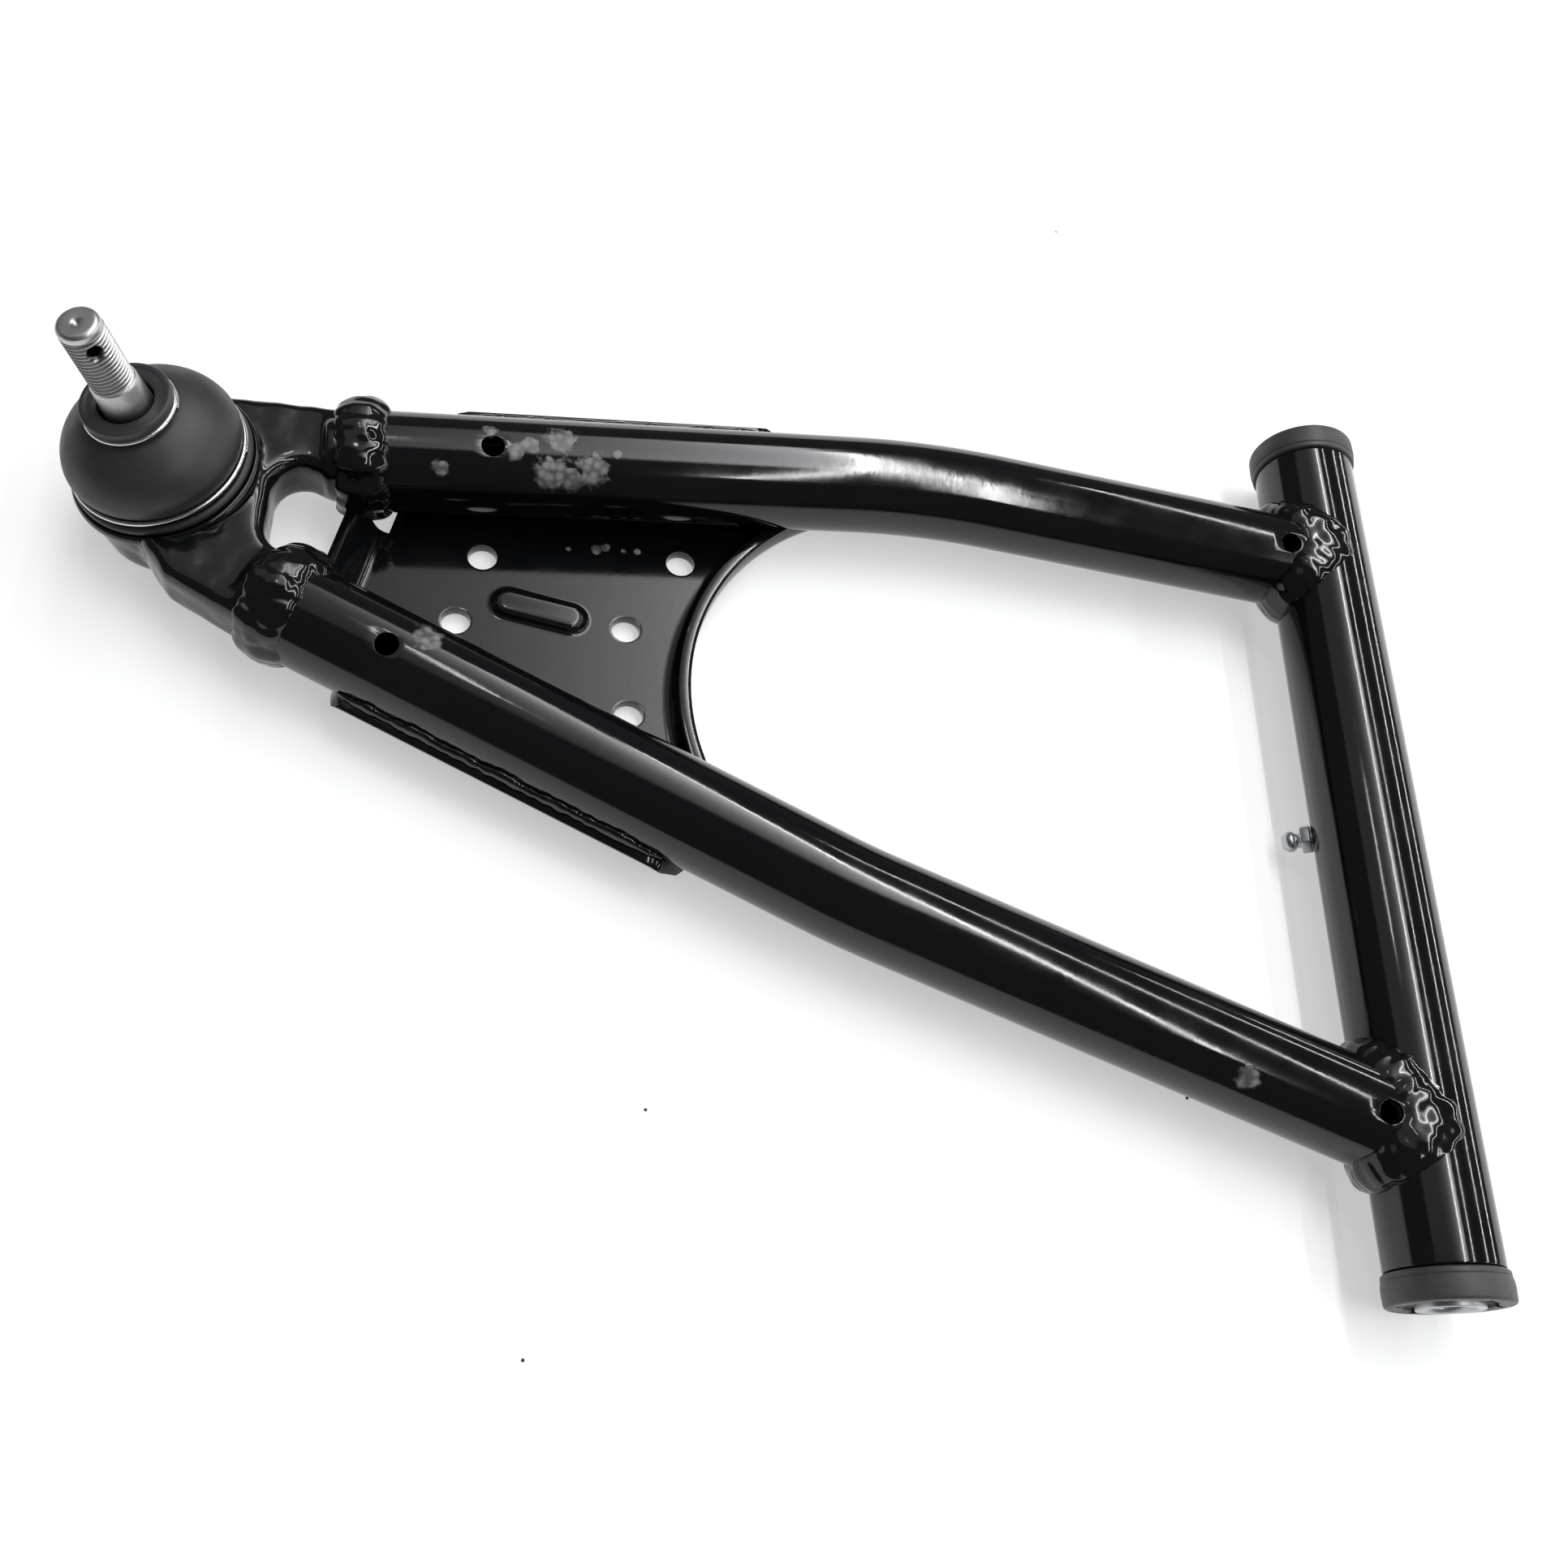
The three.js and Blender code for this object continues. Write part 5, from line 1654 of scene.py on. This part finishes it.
        def crossing(line: Profile) -> tuple[float, float]:
            """Where a line passes the split's height."""
            for (r0, h0), (r1, h1) in zip(line, line[1:]):
                if h0 <= self.boot_split <= h1:
                    t = (self.boot_split - h0) / (h1 - h0)
                    return (r0 + (r1 - r0) * t, self.boot_split)
            raise ValueError("the boot's wall doesn't cross its split height")

        cut_out, cut_in = crossing(outside), crossing(inside)
        lower = [p for p in outside if p[1] < self.boot_split] + [cut_out, cut_in]
        lower += [p for p in reversed(inside) if p[1] < self.boot_split]
        lower.append((self.base_radius - 2.3, self.foot))
        upper = [cut_out] + [p for p in outside if p[1] > self.boot_split]
        upper += [p for p in reversed(inside) if p[1] > self.boot_split] + [cut_in]
        return lower, upper

    def collar(self) -> BMesh:
        """The stiff collar on top of the boot, with a step round its face.

        Returns:
            A closed mesh.
        """
        low, high = self.boot_top + 0.25, self.boot_top + self.collar_height
        corners = [
            (self.collar_bore - 0.35, low), (self.collar_radius - 0.4, low), (self.collar_radius, low + 1.2),
            (self.collar_radius - 0.3, high), (self.collar_radius - 1.7, high),
            (self.collar_radius - 2.0, high - 0.35), (self.collar_bore + 0.8, high - 0.45),
            (self.collar_bore - 0.35, high - 1.0),
        ]
        return lathe(eased(corners, 0.6, 4, closed=True), joint_frame(), 112, closed=True)

    def ring(self, radius: float, height: float, turns: float) -> BMesh:
        """A ring of round wire, its ends lapped side by side.

        Args:
            radius: From the stud's axis to the wire's middle.
            height: Up the stud's axis.
            turns: How far round the wire goes; more than one lets its ends lap.

        Returns:
            The wire's mesh.
        """
        steps = round(96 * turns)
        stations = []
        for i in range(steps + 1):
            angle = 2 * math.pi * turns * i / steps
            lift = self.wire * 1.9 * (i / steps - 0.5) * (turns > 1)
            spoke = joint_frame(height) @ Matrix.Rotation(angle, 4, "Z")
            place = spoke @ Matrix.Translation((radius, 0, lift))
            stations.append(place @ Matrix.Rotation(math.pi / 2, 4, "X"))
        return sweep(stations, circle(self.wire, 14))

    def anchor_band(self) -> BMesh:
        """The bead of the boot's foot, pressed onto the housing."""
        corners = [(23.9, 7.0), (25.7, 7.1), (26.0, 8.4), (25.2, 9.4), (23.9, 9.4)]
        return lathe(eased(corners, 0.8, 4, closed=True), joint_frame(), 128, closed=True)

    def cover(self) -> BMesh:
        """The dished plate that closes the housing from below.

        Returns:
            A closed mesh.
        """
        low = -14.0
        corners = [
            (0.0, low + 0.7), (6.0, low + 0.6), (9.0, low), (14.7, low), (14.7, low + 1.7),
            (9.4, low + 1.7), (6.4, low + 2.2), (0.0, low + 2.3),
        ]
        return lathe(eased(corners, 0.8, 4), joint_frame(), 72)

    def build(self, palette: Palette) -> None:
        """Makes the stud, the boot and its rings, and dresses the hidden pieces.

        Args:
            palette: The finishes.
        """
        Piece("tapered_stud", self.stud(), palette.steel, Slot.STEEL, Body.STUD, ("ball_stud",)).finish()
        lower, upper = self.boot_parts()
        low_bend = (Body.ARM, Body.BOOT, self.base_ring + 1.5, self.boot_split)
        high_bend = (Body.BOOT, Body.COLLAR, self.boot_split, self.boot_top - 2.2)
        Piece("boot_lower", lathe(lower, joint_frame(), 128, closed=True), palette.rubber, Slot.RUBBER,
              nodes=("dust_boot",), blend=low_bend).finish()
        Piece("boot_upper", lathe(upper, joint_frame(), 128, closed=True), palette.rubber, Slot.RUBBER,
              blend=high_bend).finish()
        Piece("collar", self.collar(), palette.collar, Slot.RUBBER, Body.COLLAR, ("boot_collar",)).finish()
        top_wire = self.ring(self.collar_radius - self.wire + 0.25, self.boot_top - 0.6, 1.12)
        Piece("collar_wire", top_wire, palette.wire, Slot.WIRE, Body.COLLAR, ("boot_top_wire",)).finish()
        base_wire = self.ring(self.base_radius + self.wire, self.base_ring, 1.2)
        Piece("base_wire", base_wire, palette.wire, Slot.WIRE, nodes=("boot_base_wire",)).finish()
        Piece("foot_band", self.anchor_band(), palette.rubber, Slot.RUBBER,
              nodes=("boot_anchor_band",)).finish()
        Piece("dished_cover", self.cover(), palette.zinc, Slot.ZINC, nodes=("housing_cover",)).finish()
        for node, material in (("upper_ball_seat", palette.acetal), ("lower_ball_seat", palette.acetal),
                               ("preload_ring", palette.cushion)):
            data = frame["nodes"][node].data
            data.materials.clear()
            data.materials.append(material)


# ------------------------------------------------------------------ gusset plate

@dataclass
class Gusset:
    """The pressed plate under the tubes: lips round them, flanges at both ends, a rib and holes."""

    tubes: tuple[ArmTube, ArmTube]
    thickness: float = 3.5
    hug_radius: float = 15.3
    nose_start: float = 57.0
    nose_skew: float = math.radians(12)
    nose_lean: float = math.radians(24)
    nose_height: float = 12.0
    arc_radius: float = 72.0
    arc_centre: Vector = field(default_factory=lambda: Vector((225.5, -46.8)))
    arc_height: float = 9.0
    bend: float = 3.6
    support: float = 0.7
    nose_trim: tuple[int, int] = (5, 4)
    hole_radius: float = 4.5
    holes: tuple[tuple[float, float], ...] = (
        (89, -6), (83, -29.5), (150, -0.5), (134, -26.5), (136.2, -55.8),
    )
    rib_place: tuple[float, float] = (107.5, -23.4)
    rib_run: float = 9.5
    rib_half: float = 6.1
    rib_height: float = 2.4
    rib_turn: float = math.radians(-10)
    rib_slope: Profile = field(default_factory=lambda: [
        (0.0, 0.0), (-0.5, 0.12), (-1.0, 0.5), (-1.5, 1.1), (-2.0, 1.7), (-2.5, 2.1), (-3.1, 2.32),
        (-4.0, 2.4),
    ])
    lip_corner: float = 8.0
    lip_steps: int = 11
    lip_least: float = 0.02
    bead_inset: float = 5.0
    bead_half: tuple[float, float] = (2.3, 1.5)
    bead_ripple: float = 4.6
    flange_step: float = 0.7
    edge_ease: float = 0.5
    lip_span: dict[Side, tuple[float, float, float]] = field(default_factory=lambda: {
        Side.FRONT: (20.5, 110.0, 8.0), Side.REAR: (19.5, 112.0, -12.0),
    })

    @property
    def top(self) -> float:
        """Height of the plate's upper face."""
        return -self.hug_radius

    def under(self, tube: ArmTube, distance: float) -> Vector:
        """The point of the plate right under a tube's axis."""
        place = tube.nose + tube.nose_line * distance
        return Vector((place.x, place.y, self.top))

    def nose_distance(self, tube: ArmTube) -> float:
        """How far along a tube the plate's nose edge passes under it.

        Args:
            tube: The tube.

        Returns:
            The distance from the tube's nose end.
        """
        middle = sum((t.nose.y for t in self.tubes)) / 2
        skew = math.tan(self.nose_skew)
        dx, dy = BALL.x + self.nose_start - tube.nose.x, middle - tube.nose.y
        return (dx - dy * skew) / (tube.nose_line.x - tube.nose_line.y * skew)

    def arc_meets(self, tube: ArmTube, radius: float) -> float:
        """How far along a tube a circle about the hollowed end's centre crosses its axis.

        Args:
            tube: The tube.
            radius: The circle's radius.

        Returns:
            The distance from the tube's nose end.
        """
        centre = BALL + self.arc_centre.to_3d()
        away = tube.nose - centre
        half = away.dot(tube.nose_line)
        return -half - math.sqrt(half ** 2 - away.length_squared + radius ** 2)

    def lip_ends(self, tube: ArmTube) -> tuple[float, float]:
        """Where a lip starts and ends along its tube."""
        start, length, _ = self.lip_span[tube.side]
        return start, min(start + length, self.arc_meets(tube, self.flat_radius))

    @property
    def flat_radius(self) -> float:
        """Radius of the plate's flat edge at the hollowed end, outside the flange's bend."""
        return self.arc_radius + self.thickness + self.bend + self.support

    def ring_points(self, radius: float, steps: int, ends: tuple[Vector, Vector]) -> list[Vector]:
        """Points along the hollowed end, from the rear tube to the front one.

        Args:
            radius: From the hollowed end's centre.
            steps: Segments between the two ends.
            ends: Where the row starts and ends, which aren't repeated in it.

        Returns:
            The points between the ends.
        """
        centre = BALL + self.arc_centre.to_3d()
        angles = [math.atan2(end.y - centre.y, end.x - centre.x) % (2 * math.pi) for end in ends]
        made = []
        for i in range(1, steps):
            angle = angles[0] + (angles[1] - angles[0]) * i / steps
            x, y = centre.x + radius * math.cos(angle), centre.y + radius * math.sin(angle)
            made.append(Vector((x, y, self.top)))
        return made

    def obround(self, grow: float, height: float) -> list[Vector]:
        """Points round the rib.

        Args:
            grow: How far outside the rib's foot they are.
            height: How far over the plate they are.

        Returns:
            The points in order.
        """
        half, steps = self.rib_half + grow, 12
        made = []
        for end, first in ((1, -90), (-1, 90)):
            for i in range(steps + 1):
                angle = math.radians(first + 180 * i / steps)
                x, y = end * self.rib_run + half * math.cos(angle), half * math.sin(angle)
                made.append(Vector((x, y, 0)))
        turn = Matrix.Rotation(self.rib_turn, 3, "Z")
        place = Vector((BALL.x + self.rib_place[0], BALL.y + self.rib_place[1], self.top + height))
        return [turn @ point + place for point in made]

    def sheet(self) -> BMesh:
        """The plate's upper face with its lips, flanges, rib and holes, as one open sheet.

        Returns:
            The open mesh, its faces pointing up.
        """
        front, rear = self.tubes
        mesh = bmesh.new()
        ends = {tube.side: self.arc_meets(tube, self.flat_radius) for tube in self.tubes}
        starts = {tube.side: self.nose_distance(tube) for tube in self.tubes}
        lines: dict[Side, list[float]] = {}
        for tube in self.tubes:
            start, end = starts[tube.side] + self.support, ends[tube.side]
            count = 40
            lines[tube.side] = [start + (end - start) * i / count for i in range(count + 1)]

        def row(tube: ArmTube, distances: Iterable[float]) -> list[BMVert]:
            """Corners under a tube, a little inside its axis."""
            inward = UP.cross(tube.nose_line) * -tube.side.value * self.support
            return [mesh.verts.new(self.under(tube, d) + inward) for d in distances]

        front_row = row(front, lines[Side.FRONT])
        rear_row = row(rear, lines[Side.REAR])
        arc_ends = (rear_row[-1].co, front_row[-1].co)
        arc_row = [mesh.verts.new(p) for p in self.ring_points(self.flat_radius, 44, arc_ends)]
        nose_count = 24
        nose_points = [front_row[0].co.lerp(rear_row[0].co, i / nose_count) for i in range(1, nose_count)]
        nose_row = [mesh.verts.new(point) for point in nose_points]
        loop = front_row[::-1] + nose_row + rear_row + arc_row

        def chain(verts: list[BMVert], closed: bool) -> EdgeRun:
            """Joins corners by edges, in order.

            Args:
                verts: The corners.
                closed: Whether the last one joins the first.

            Returns:
                The edges.
            """
            made = [mesh.edges.new(pair) for pair in zip(verts, verts[1:])]
            if closed:
                made.append(mesh.edges.new((verts[-1], verts[0])))
            return made

        edges = chain(loop, True)
        hole_loops = []
        for x, y in self.holes:
            centre = Vector((BALL.x + x, BALL.y + y, self.top))
            verts = [mesh.verts.new(centre + p.to_3d()) for p in circle(self.hole_radius + self.support, 36)]
            hole_loops.append((centre, chain(verts, True)))
            edges += hole_loops[-1][1]
        rib_edges = chain([mesh.verts.new(p) for p in self.obround(self.support, 0)], True)
        edges += rib_edges
        bmesh.ops.triangle_fill(mesh, use_beauty=True, use_dissolve=False, edges=edges)
        for face in mesh.faces:
            if face.normal.z < 0:
                face.normal_flip()

        def grow(run: EdgeRun, move: Move) -> EdgeRun:
            """Extrudes a run of edges.

            Args:
                run: The edges.
                move: Where each new corner goes.

            Returns:
                The new run, at the far side of the new faces.
            """
            made = bmesh.ops.extrude_edge_only(mesh, edges=run)["geom"]
            for item in made:
                if isinstance(item, BMVert):
                    item.co = move(item.co)
            return [item for item in made if isinstance(item, BMEdge) and item.is_boundary
                    and all(v in set(made) for v in item.verts)]

        self.raise_rib(mesh, rib_edges)
        for centre, hole in hole_loops:
            grow(hole, lambda p, c=centre: c + (p - c).normalized() * self.hole_radius)

        def along(verts: list[BMVert]) -> EdgeRun:
            """The mesh's edges between neighbours in a row of corners."""
            pairs = {frozenset(pair) for pair in zip(verts, verts[1:])}
            return [edge for edge in mesh.edges if frozenset(edge.verts) in pairs]

        self.raise_arc(grow, along(arc_row))
        after, before = self.nose_trim
        self.raise_nose(grow, along(nose_row[after:-before]))
        for tube, line in ((front, front_row), (rear, rear_row)):
            self.curl_lip(grow, tube, along(line))
        bmesh.ops.recalc_face_normals(mesh, faces=mesh.faces)
        flat = max(mesh.faces, key=lambda face: face.calc_area())
        if flat.normal.z < 0:
            bmesh.ops.reverse_faces(mesh, faces=mesh.faces)
        return mesh

    def raise_rib(self, mesh: BMesh, run: EdgeRun) -> None:
        """Presses the rib up out of the plate.

        Args:
            mesh: The sheet.
            run: The edges round the rib's foot.
        """
        before = self.obround(self.support, 0)
        full = self.rib_slope[-1][1]
        for inset, height in self.rib_slope:
            after = self.obround(inset, height * self.rib_height / full)
            made = bmesh.ops.extrude_edge_only(mesh, edges=run)["geom"]
            for item in made:
                if isinstance(item, BMVert):
                    nearest = min(range(len(before)), key=lambda i: (before[i] - item.co).length_squared)
                    item.co = after[nearest]
            run = [item for item in made if isinstance(item, BMEdge) and item.is_boundary]
            before = after
        bmesh.ops.contextual_create(mesh, geom=run)

    def raise_arc(self, grow: Grow, run: EdgeRun) -> None:
        """Turns the flange up along the hollowed end.

        Args:
            grow: What extrudes a run of edges.
            run: The plate's edges there.
        """
        centre = BALL + self.arc_centre.to_3d()

        def at(radius: float, height: float) -> Move:
            """A move out to a radius about the centre, and up to a height."""
            def move(point: Vector) -> Vector:
                """Moves a point straight away from the centre."""
                away = Vector((point.x - centre.x, point.y - centre.y, 0)).normalized()
                return Vector((centre.x, centre.y, self.top + height)) + away * radius
            return move

        inner = self.arc_radius + self.thickness
        run = grow(run, at(inner + self.bend, 0))
        for i in range(1, 7):
            angle = math.pi / 2 * i / 6
            run = grow(run, at(inner + self.bend * (1 - math.sin(angle)), self.bend * (1 - math.cos(angle))))
        run = grow(run, at(inner, self.bend + self.flange_step))
        grow(run, at(inner, self.arc_height))

    def raise_nose(self, grow: Grow, run: EdgeRun) -> None:
        """Turns the flange up at the nose end, leaning towards the ball joint.

        Args:
            grow: What extrudes a run of edges.
            run: The plate's edges there.
        """
        towards = Vector((-math.cos(self.nose_skew), math.sin(self.nose_skew), 0))
        turn = math.pi / 2 - self.nose_lean

        def by(forward: float, upward: float) -> Move:
            """A move towards the ball joint and up."""
            return lambda point: point + towards * forward + UP * upward

        run = grow(run, by(self.support, 0))
        steps, before = 6, (0.0, 0.0)
        for i in range(1, steps + 1):
            angle = turn * i / steps
            here = (self.bend * math.sin(angle), self.bend * (1 - math.cos(angle)))
            run = grow(run, by(here[0] - before[0], here[1] - before[1]))
            before = here
        length = self.nose_height - before[1]
        slope = math.tan(self.nose_lean)
        run = grow(run, by(self.flange_step * slope, self.flange_step))
        rest = length - self.flange_step
        grow(run, by(rest * slope, rest))

    def curl_lip(self, grow: Grow, tube: ArmTube, run: EdgeRun) -> None:
        """Curls the plate's edge up round the outer side of a tube, its ends rounded off.

        Args:
            grow: What extrudes a run of edges.
            tube: The tube.
            run: The plate's edges under the tube.
        """
        start, end = self.lip_ends(tube)
        top = self.lip_span[tube.side][2]
        outward = UP.cross(tube.nose_line) * tube.side.value

        def rise(distance: float) -> float:
            """The lip's height as a share of its full height.

            Args:
                distance: How far along the tube.

            Returns:
                From 0 at the lip's ends to 1 past its rounded corners.
            """
            near_end = min(distance - start, end - distance)
            share = max(0.0, min(1.0, near_end / self.lip_corner))
            return math.sqrt(max(0.0, 1 - (1 - share) ** 2))

        def place(distance: float, share: float) -> Vector:
            """A point of the lip.

            Args:
                distance: How far along the tube.
                share: How far up the lip, from 0 to 1.

            Returns:
                The point.
            """
            angle = math.radians(-90 + (top + 90) * share * max(self.lip_least, rise(distance)))
            axis = tube.nose + tube.nose_line * distance
            return axis + (outward * math.cos(angle) + UP * math.sin(angle)) * self.hug_radius

        run = grow(run, lambda p: self.under(tube, (p - tube.nose).dot(tube.nose_line)))
        for i in range(1, self.lip_steps + 1):
            run = grow(run, lambda p, s=i / self.lip_steps: place((p - tube.nose).dot(tube.nose_line), s))

    def plate(self) -> BMesh:
        """The sheet given its thickness, with rounded edges.

        Returns:
            A closed mesh.
        """
        work = scratch_object(self.sheet())
        thicken = work.modifiers.new("thickness", "SOLIDIFY")
        thicken.thickness = self.thickness
        thicken.offset = -1.0
        thicken.use_even_offset = True
        ease = work.modifiers.new("edges", "BEVEL")
        ease.width = self.edge_ease
        ease.segments = 2
        ease.limit_method = "ANGLE"
        ease.angle_limit = math.radians(50)
        return settled(work)

    def lip_bead(self, tube: ArmTube, seed: float) -> BMesh:
        """The weld along the top of a lip.

        Args:
            tube: The tube that the lip hugs.
            seed: Where in the noise its lumps are taken from.

        Returns:
            A closed mesh.
        """
        start, finish = self.lip_ends(tube)
        top = self.lip_span[tube.side][2]
        outward = UP.cross(tube.nose_line) * tube.side.value
        angle = math.radians(top + 3)
        side = outward * math.cos(angle) + UP * math.sin(angle)
        wide, high = self.bead_half
        stations = []
        run = finish - start - 2 * self.bead_inset
        count = 150
        for i in range(count + 1):
            t = i / count
            distance = start + self.bead_inset + run * t
            wander = noise.noise(Vector((distance / 9, seed, 0)))
            ripple = 0.16 * abs(math.sin(distance * math.pi / self.bead_ripple))
            end = min(1.0, 8 * t + 0.3, 8 * (1 - t) + 0.3)
            size = (1 + 0.25 * wander + ripple) * end
            place = tube.nose + tube.nose_line * distance + side * self.hug_radius + UP * 0.8 * wander
            here = looking(place, tube.nose_line, side)
            stations.append(here @ Matrix.Diagonal((wide * size, high * size, 1, 1)))
        bead = sweep(stations, circle(1.0, 18))
        knead(bead, 0.35, 3.0, seed)
        return bead

    def build(self, palette: Palette) -> None:
        """Makes the plate and the welds that hold its lips.

        Args:
            palette: The finishes.
        """
        Piece("pressed_plate", self.plate(), palette.plate_paint, Slot.PAINT,
              nodes=("gusset_plate",)).finish()
        for tube in self.tubes:
            bead = self.lip_bead(tube, tube.seed + 20)
            Piece(f"{tube.label}_lip_bead", bead, palette.weld_paint, Slot.PAINT,
                  nodes=(f"{tube.label}_lip_weld",), sharp=80).finish()


# ------------------------------------------------------------------ studio

@dataclass(frozen=True)
class Strip:
    """A long lamp over the arm, parallel to the pivot tube, at an angle from straight up."""

    angle: float
    width: float
    power: float
    distance: float = 1.6
    length: float = 2.6
    forward: float = 0.35


@dataclass
class Studio:
    """Floor, lamps and camera."""

    camera_place: Vector = field(default_factory=lambda: Vector((-259.4, -196.1, 393.4)))
    camera_turn: tuple[float, float, float] = (25.746, -11.088, 0.075)
    lens: float = 35.59
    strips: tuple[Strip, ...] = (
        Strip(15, 0.04, 11.0), Strip(32, 0.02, 7.0), Strip(59, 0.018, 7.0), Strip(78, 0.016, 6.0),
    )
    room_middle: Vector = field(default_factory=lambda: Vector((0.0, 0.0, 0.02)))
    window_place: Vector = field(default_factory=lambda: Vector((-0.26, 0.51, 1.4)))
    window_size: tuple[float, float] = (0.06, 0.3)
    window_power: float = 0.9
    floor_size: float = 4.0
    floor_gap: float = 0.0004
    floor_glow: float = 0.48
    paper: Colour = (0.62, 0.63, 0.63, 1)
    grit: Colour = (0.02, 0.02, 0.02, 1)
    room_tint: Colour = (0.98, 0.97, 1.0, 1)
    panel_edge: float = 0.25
    panel_power: float = 11.0
    panel_base: float = 0.35
    backdrop: float = 0.85
    dimness: float = 0.10

    def lamp(self, name: str, place: Vector, aim: Vector, size: tuple[float, float], power: float) -> None:
        """Hangs a rectangular lamp.

        Args:
            name: The lamp's name.
            place: Where it hangs, in metres.
            aim: The point that it faces.
            size: Width and length.
            power: In watts.
        """
        data = bpy.data.lights.new(name, "AREA")
        data.shape = "RECTANGLE"
        data.size, data.size_y = size
        data.energy = power
        made = bpy.data.objects.new(name, data)
        made.matrix_world = looking(place, place - aim, Vector((0, 1, 0)))
        bpy.context.scene.collection.objects.link(made)

    def floor(self) -> None:
        """A wide pale floor, just under the arm."""
        mesh = bmesh.new()
        bmesh.ops.create_grid(mesh, x_segments=1, y_segments=1, size=self.floor_size)
        data = bpy.data.meshes.new("floor")
        mesh.to_mesh(data)
        mesh.free()
        material = bpy.data.materials.new("floor_paper")
        material.use_nodes = True
        shader = material.node_tree.nodes["Principled BSDF"]
        graph = Graph(material.node_tree)
        vector = graph.add("ShaderNodeTexCoord").outputs["Object"]
        cells = graph.add("ShaderNodeTexVoronoi", {"Vector": vector, "Scale": 70.0})
        chance = graph.add("ShaderNodeSeparateXYZ", {0: cells.outputs["Color"]}).outputs["X"]
        chosen = graph.maths("GREATER_THAN", chance, 0.93)
        near = graph.maths("LESS_THAN", cells.outputs["Distance"], 0.035)
        speck = graph.maths("MULTIPLY", chosen, near)
        colour = graph.mixed(speck, self.paper, self.grit)
        material.node_tree.links.new(colour, shader.inputs["Base Color"])
        glow = graph.maths("MULTIPLY", graph.maths("SUBTRACT", 1.0, speck), self.floor_glow)
        material.node_tree.links.new(glow, shader.inputs["Emission Strength"])
        shader.inputs["Roughness"].default_value = 0.55
        shader.inputs["Emission Color"].default_value = (1, 1, 1, 1)
        data.materials.append(material)
        made = bpy.data.objects.new("floor", data)
        made.location.z = -self.floor_gap
        bpy.context.scene.collection.objects.link(made)

    def surroundings(self) -> None:
        """A dim room with a wide lit ceiling behind the arm, brightest along its right edge."""
        world = bpy.data.worlds.new("room")
        world.use_nodes = True
        graph = Graph(world.node_tree)
        background = world.node_tree.nodes["Background"]
        split = graph.add("ShaderNodeSeparateXYZ", {0: graph.add("ShaderNodeTexCoord").outputs["Generated"]})
        height = graph.maths("MAXIMUM", split.outputs["Z"], 0.05)
        across = graph.maths("DIVIDE", split.outputs["X"], height)
        behind = graph.maths("DIVIDE", split.outputs["Y"], height)

        def between(value: NodeSocket, low: float, high: float, soft: float) -> NodeSocket:
            """1 inside a range and 0 outside it, with soft ends."""
            rise = graph.ramp(value, low - soft, low + soft)
            return graph.maths("MULTIPLY", rise, graph.ramp(value, high - soft, high + soft, 1.0, 0.0))

        spread = graph.maths("DIVIDE", graph.maths("ADD", across, 1.1), 1.37, clamp=True)
        glow = graph.maths("MULTIPLY", graph.maths("POWER", spread, 10.0), self.panel_power)
        deep = between(behind, -0.02, 1.35, 0.07)
        ceiling = graph.maths("MULTIPLY", deep, between(across, -1.0, self.panel_edge, 0.02))
        panel = graph.maths("MULTIPLY", ceiling, graph.maths("ADD", glow, self.panel_base))
        seen = graph.add("ShaderNodeLightPath").outputs["Is Camera Ray"]
        backdrop = graph.maths("MULTIPLY", seen, self.backdrop)
        unseen = graph.maths("SUBTRACT", 1.0, seen)
        dim = graph.maths("ADD", panel, graph.maths("MULTIPLY", unseen, self.dimness))
        graph.tree.links.new(graph.maths("ADD", dim, backdrop), background.inputs["Strength"])
        background.inputs["Color"].default_value = self.room_tint
        bpy.context.scene.world = world

    def camera(self) -> None:
        """The camera, over the rear of the arm."""
        data = bpy.data.cameras.new("camera")
        data.lens = self.lens
        data.sensor_width = 36.0
        data.clip_start = 0.01
        made = bpy.data.objects.new("camera", data)
        made.location = DATUM + self.camera_place * MM
        made.rotation_euler = [math.radians(angle) for angle in self.camera_turn]
        bpy.context.scene.collection.objects.link(made)
        bpy.context.scene.camera = made

    def build(self) -> None:
        """Sets everything up."""
        bpy.context.scene.view_settings.view_transform = "Standard"
        self.camera()
        self.floor()
        self.surroundings()
        middle = self.room_middle
        for i, strip in enumerate(self.strips):
            turn = math.radians(strip.angle)
            out = Vector((math.sin(turn), 0, math.cos(turn))) * strip.distance
            place = middle + out + Vector((0, strip.forward, 0))
            aim = Vector((middle.x, place.y, middle.z))
            self.lamp(f"strip_{i}", place, aim, (strip.width, strip.length), strip.power)
        below = self.window_place - UP
        self.lamp("window", self.window_place, below, self.window_size, self.window_power)


def main() -> None:
    """Builds the arm piece by piece."""
    logging.basicConfig(level=logging.INFO, format="%(name)s %(message)s")
    Studio().build()
    palette = mix_palette()
    tubes = arm_tubes()
    for tube in tubes:
        tube.build(palette)
    PivotTube().build(palette)
    Yoke(tubes).build(palette)
    BallJoint().build(palette)
    Gusset(tubes).build(palette)


if __name__ == "__main__":
    main()
